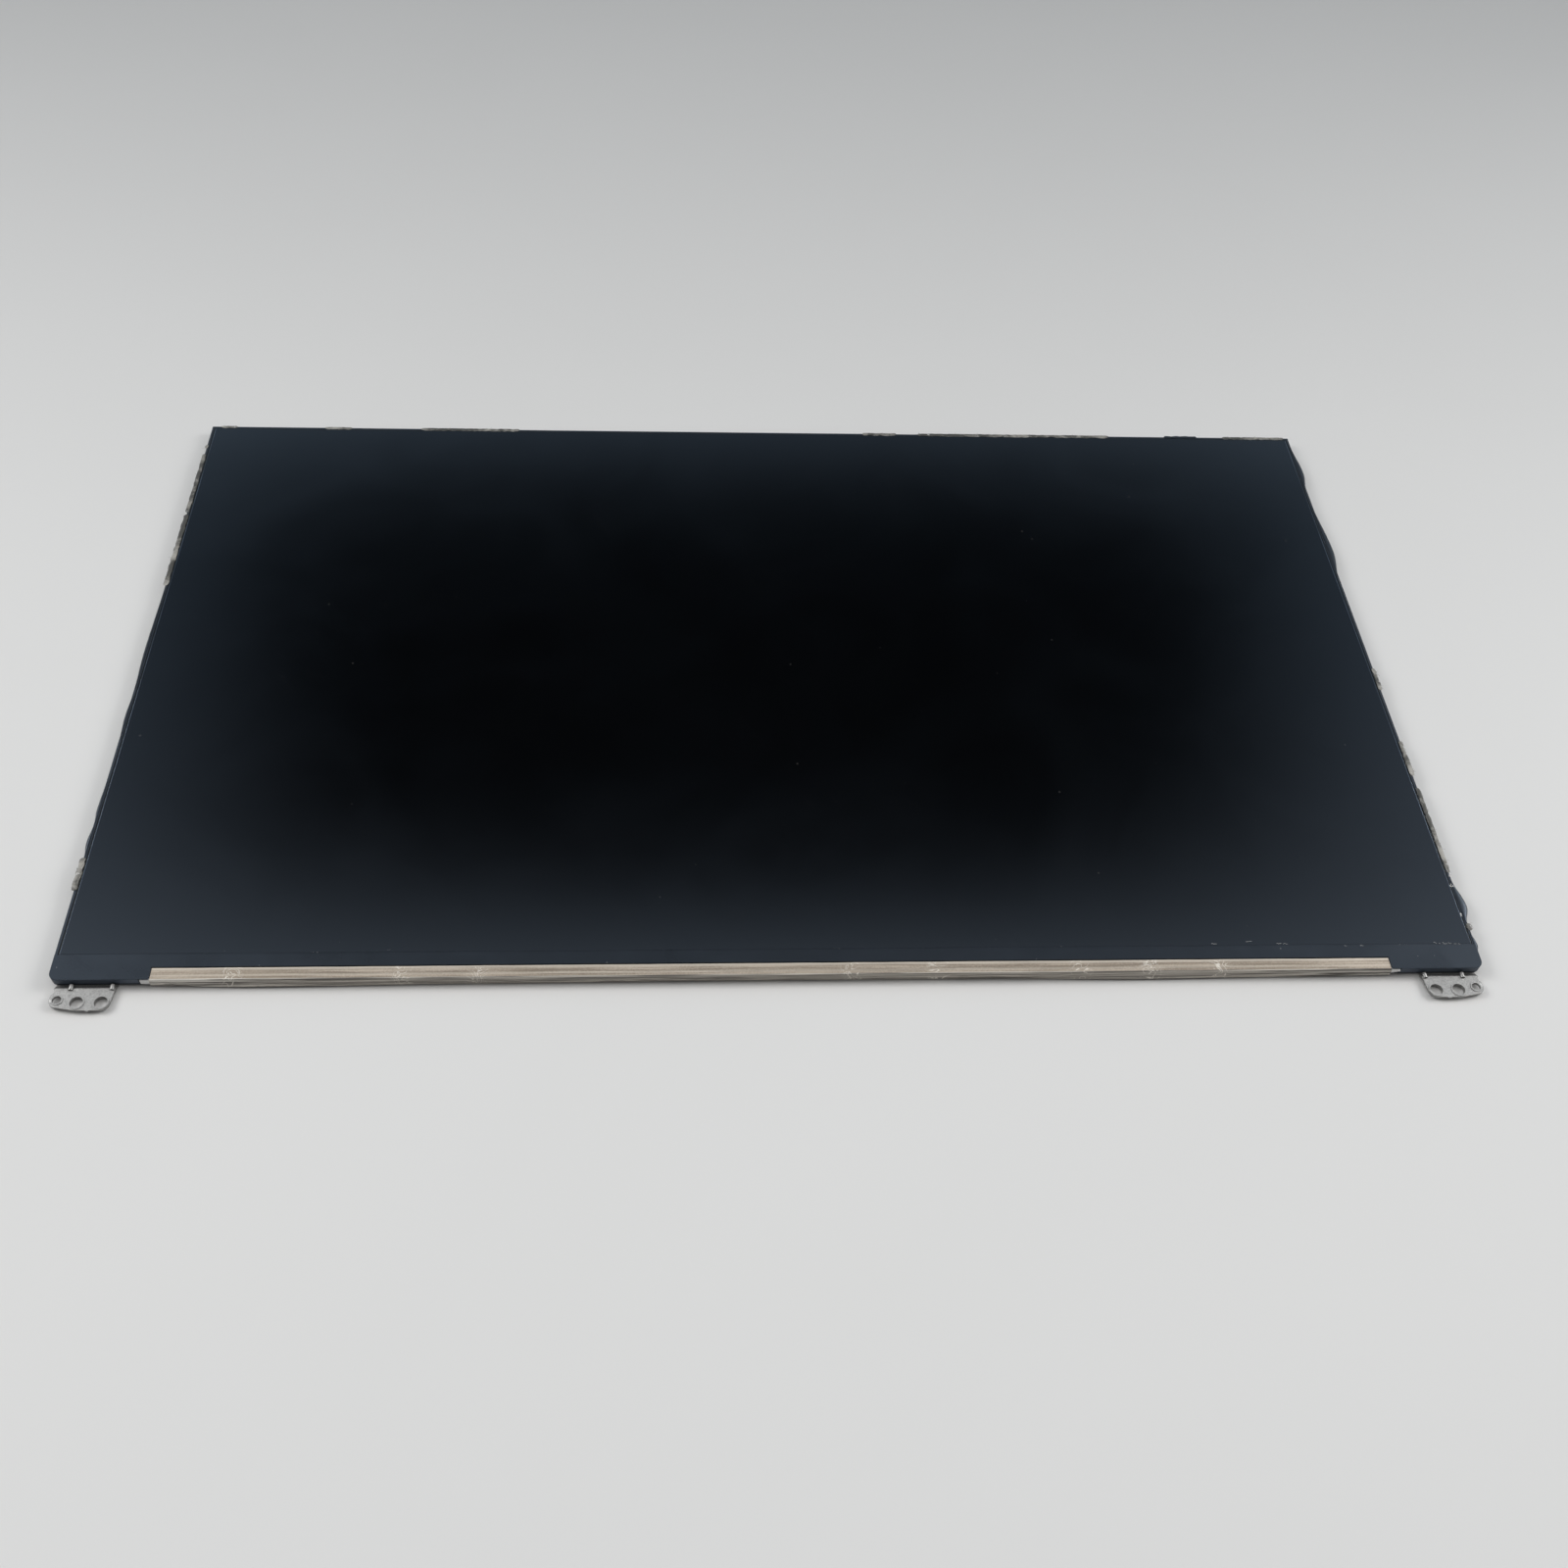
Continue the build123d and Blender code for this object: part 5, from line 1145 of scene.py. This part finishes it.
def along(axis):
    """How far a direction of the tent points along an axis."""
    return place(tree, "ShaderNodeVectorMath", {0: toward, 1: axis}, operation="DOT_PRODUCT").outputs["Value"]


def to_the_edge(offset, half):
    """Fourth power of the way to the opening's edge, which rounds its corners."""
    return calc(tree, "POWER", calc(tree, "ABSOLUTE", calc(tree, "DIVIDE", offset, half)), 4.0)


# The opening lies where the camera sees it in the front film, so it is laid out on mirrored axes.
mirrored_back = (0.0576, 0.6236, 0.7797)
mirrored_up = (-0.0017, -0.7809, 0.6247)
mirrored_right = (0.9983, -0.0373, -0.0439)
opening_half_width = 0.302
opening_half_height = 0.126
in_view = along(mirrored_back)
opening_depth = calc(tree, "MAXIMUM", in_view, 0.02)
height_in_tent = calc(tree, "DIVIDE", along(mirrored_up), opening_depth)
side_in_tent = calc(tree, "DIVIDE", along(mirrored_right), opening_depth)
opening_side = calc(tree, "ADD", side_in_tent, 0.025)
opening_rise = calc(tree, "ADD", height_in_tent, 0.069)
from_opening = calc(tree, "POWER", calc(tree, "ADD", to_the_edge(opening_side, opening_half_width),
                                        to_the_edge(opening_rise, opening_half_height)), 0.25)
around_opening = place(tree, "ShaderNodeMapRange",
                       {"Value": from_opening, "From Min": 0.85, "From Max": 1.95, "To Min": 0.0,
                        "To Max": 0.91}, interpolation_type="SMOOTHSTEP").outputs[0]
glow = calc(tree, "ADD", around_opening, spread(tree, height_in_tent, 0.080, 0.120, 0.0, 0.11))
lit_side = spread(tree, in_view, 0.45, 0.85, 0.16, 1.0)
blue_share = calc(tree, "MULTIPLY", spread(tree, height_in_tent, -0.15, 0.10, 1.0, 0.0),
                  spread(tree, in_view, 0.40, 0.75, 0.0, 1.0))
tree.links.new(mix_colours(tree, blue_share, (1.0, 1.0, 1.0, 1), (0.72, 0.87, 1.0, 1)),
               tree.nodes["Background"].inputs["Color"])
seen = place(tree, "ShaderNodeLightPath").outputs
low_wall = calc(tree, "MULTIPLY", spread(tree, along((0.0, 0.0, 1.0)), 0.18, 0.34, 1.0, 0.0),
                calc(tree, "MAXIMUM", seen["Is Transmission Ray"],
                     calc(tree, "MAXIMUM", seen["Is Camera Ray"], seen["Is Glossy Ray"])))
tent_light = calc(tree, "MULTIPLY", glow, lit_side)
wall_level = 0.62
strength = place(tree, "ShaderNodeMix", {0: low_wall, 2: tent_light, 3: wall_level},
                 data_type="FLOAT").outputs[0]
tree.links.new(strength, tree.nodes["Background"].inputs["Strength"])

softboxes = (("left_softbox", (-0.95, 0.25, 0.62), 1.05), ("right_softbox", (1.03, 0.20, 0.54), 1.16))
for lamp_name, lamp_place, power in softboxes:
    lamp = bpy.data.lights.new(lamp_name, "AREA")
    lamp.energy = power
    lamp.shape = "RECTANGLE"
    lamp.size = 0.60
    lamp.size_y = 0.50
    lamp.spread = math.radians(62)
    lamp_object = bpy.data.objects.new(lamp_name, lamp)
    lamp_object.location = lamp_place
    aim = Vector((0.15 * lamp_place[0], -0.18, 0.0)) - lamp_object.location
    lamp_object.rotation_euler = aim.to_track_quat("-Z", "Y").to_euler()
    bpy.context.scene.collection.objects.link(lamp_object)

camera_data = bpy.data.cameras.new("photo_camera")
camera_data.sensor_width = 36.0
camera_data.lens = 35.775
camera = bpy.data.objects.new("photo_camera", camera_data)
camera.location = (-0.01976, -0.270235, 0.29521)
view_right = Vector((0.9983, -0.0373, 0.0439))
view_back = Vector((-0.0576, -0.6236, 0.7797))
view_up = view_back.cross(view_right).normalized()
view_right = view_up.cross(view_back).normalized()
camera.rotation_mode = "QUATERNION"
turn = camera.matrix_world.to_3x3()
turn.col[0], turn.col[1], turn.col[2] = view_right, view_up, view_back.normalized()
camera.rotation_quaternion = turn.to_quaternion()
bpy.context.scene.collection.objects.link(camera)
bpy.context.scene.camera = camera
bpy.context.scene.view_settings.view_transform = "Standard"
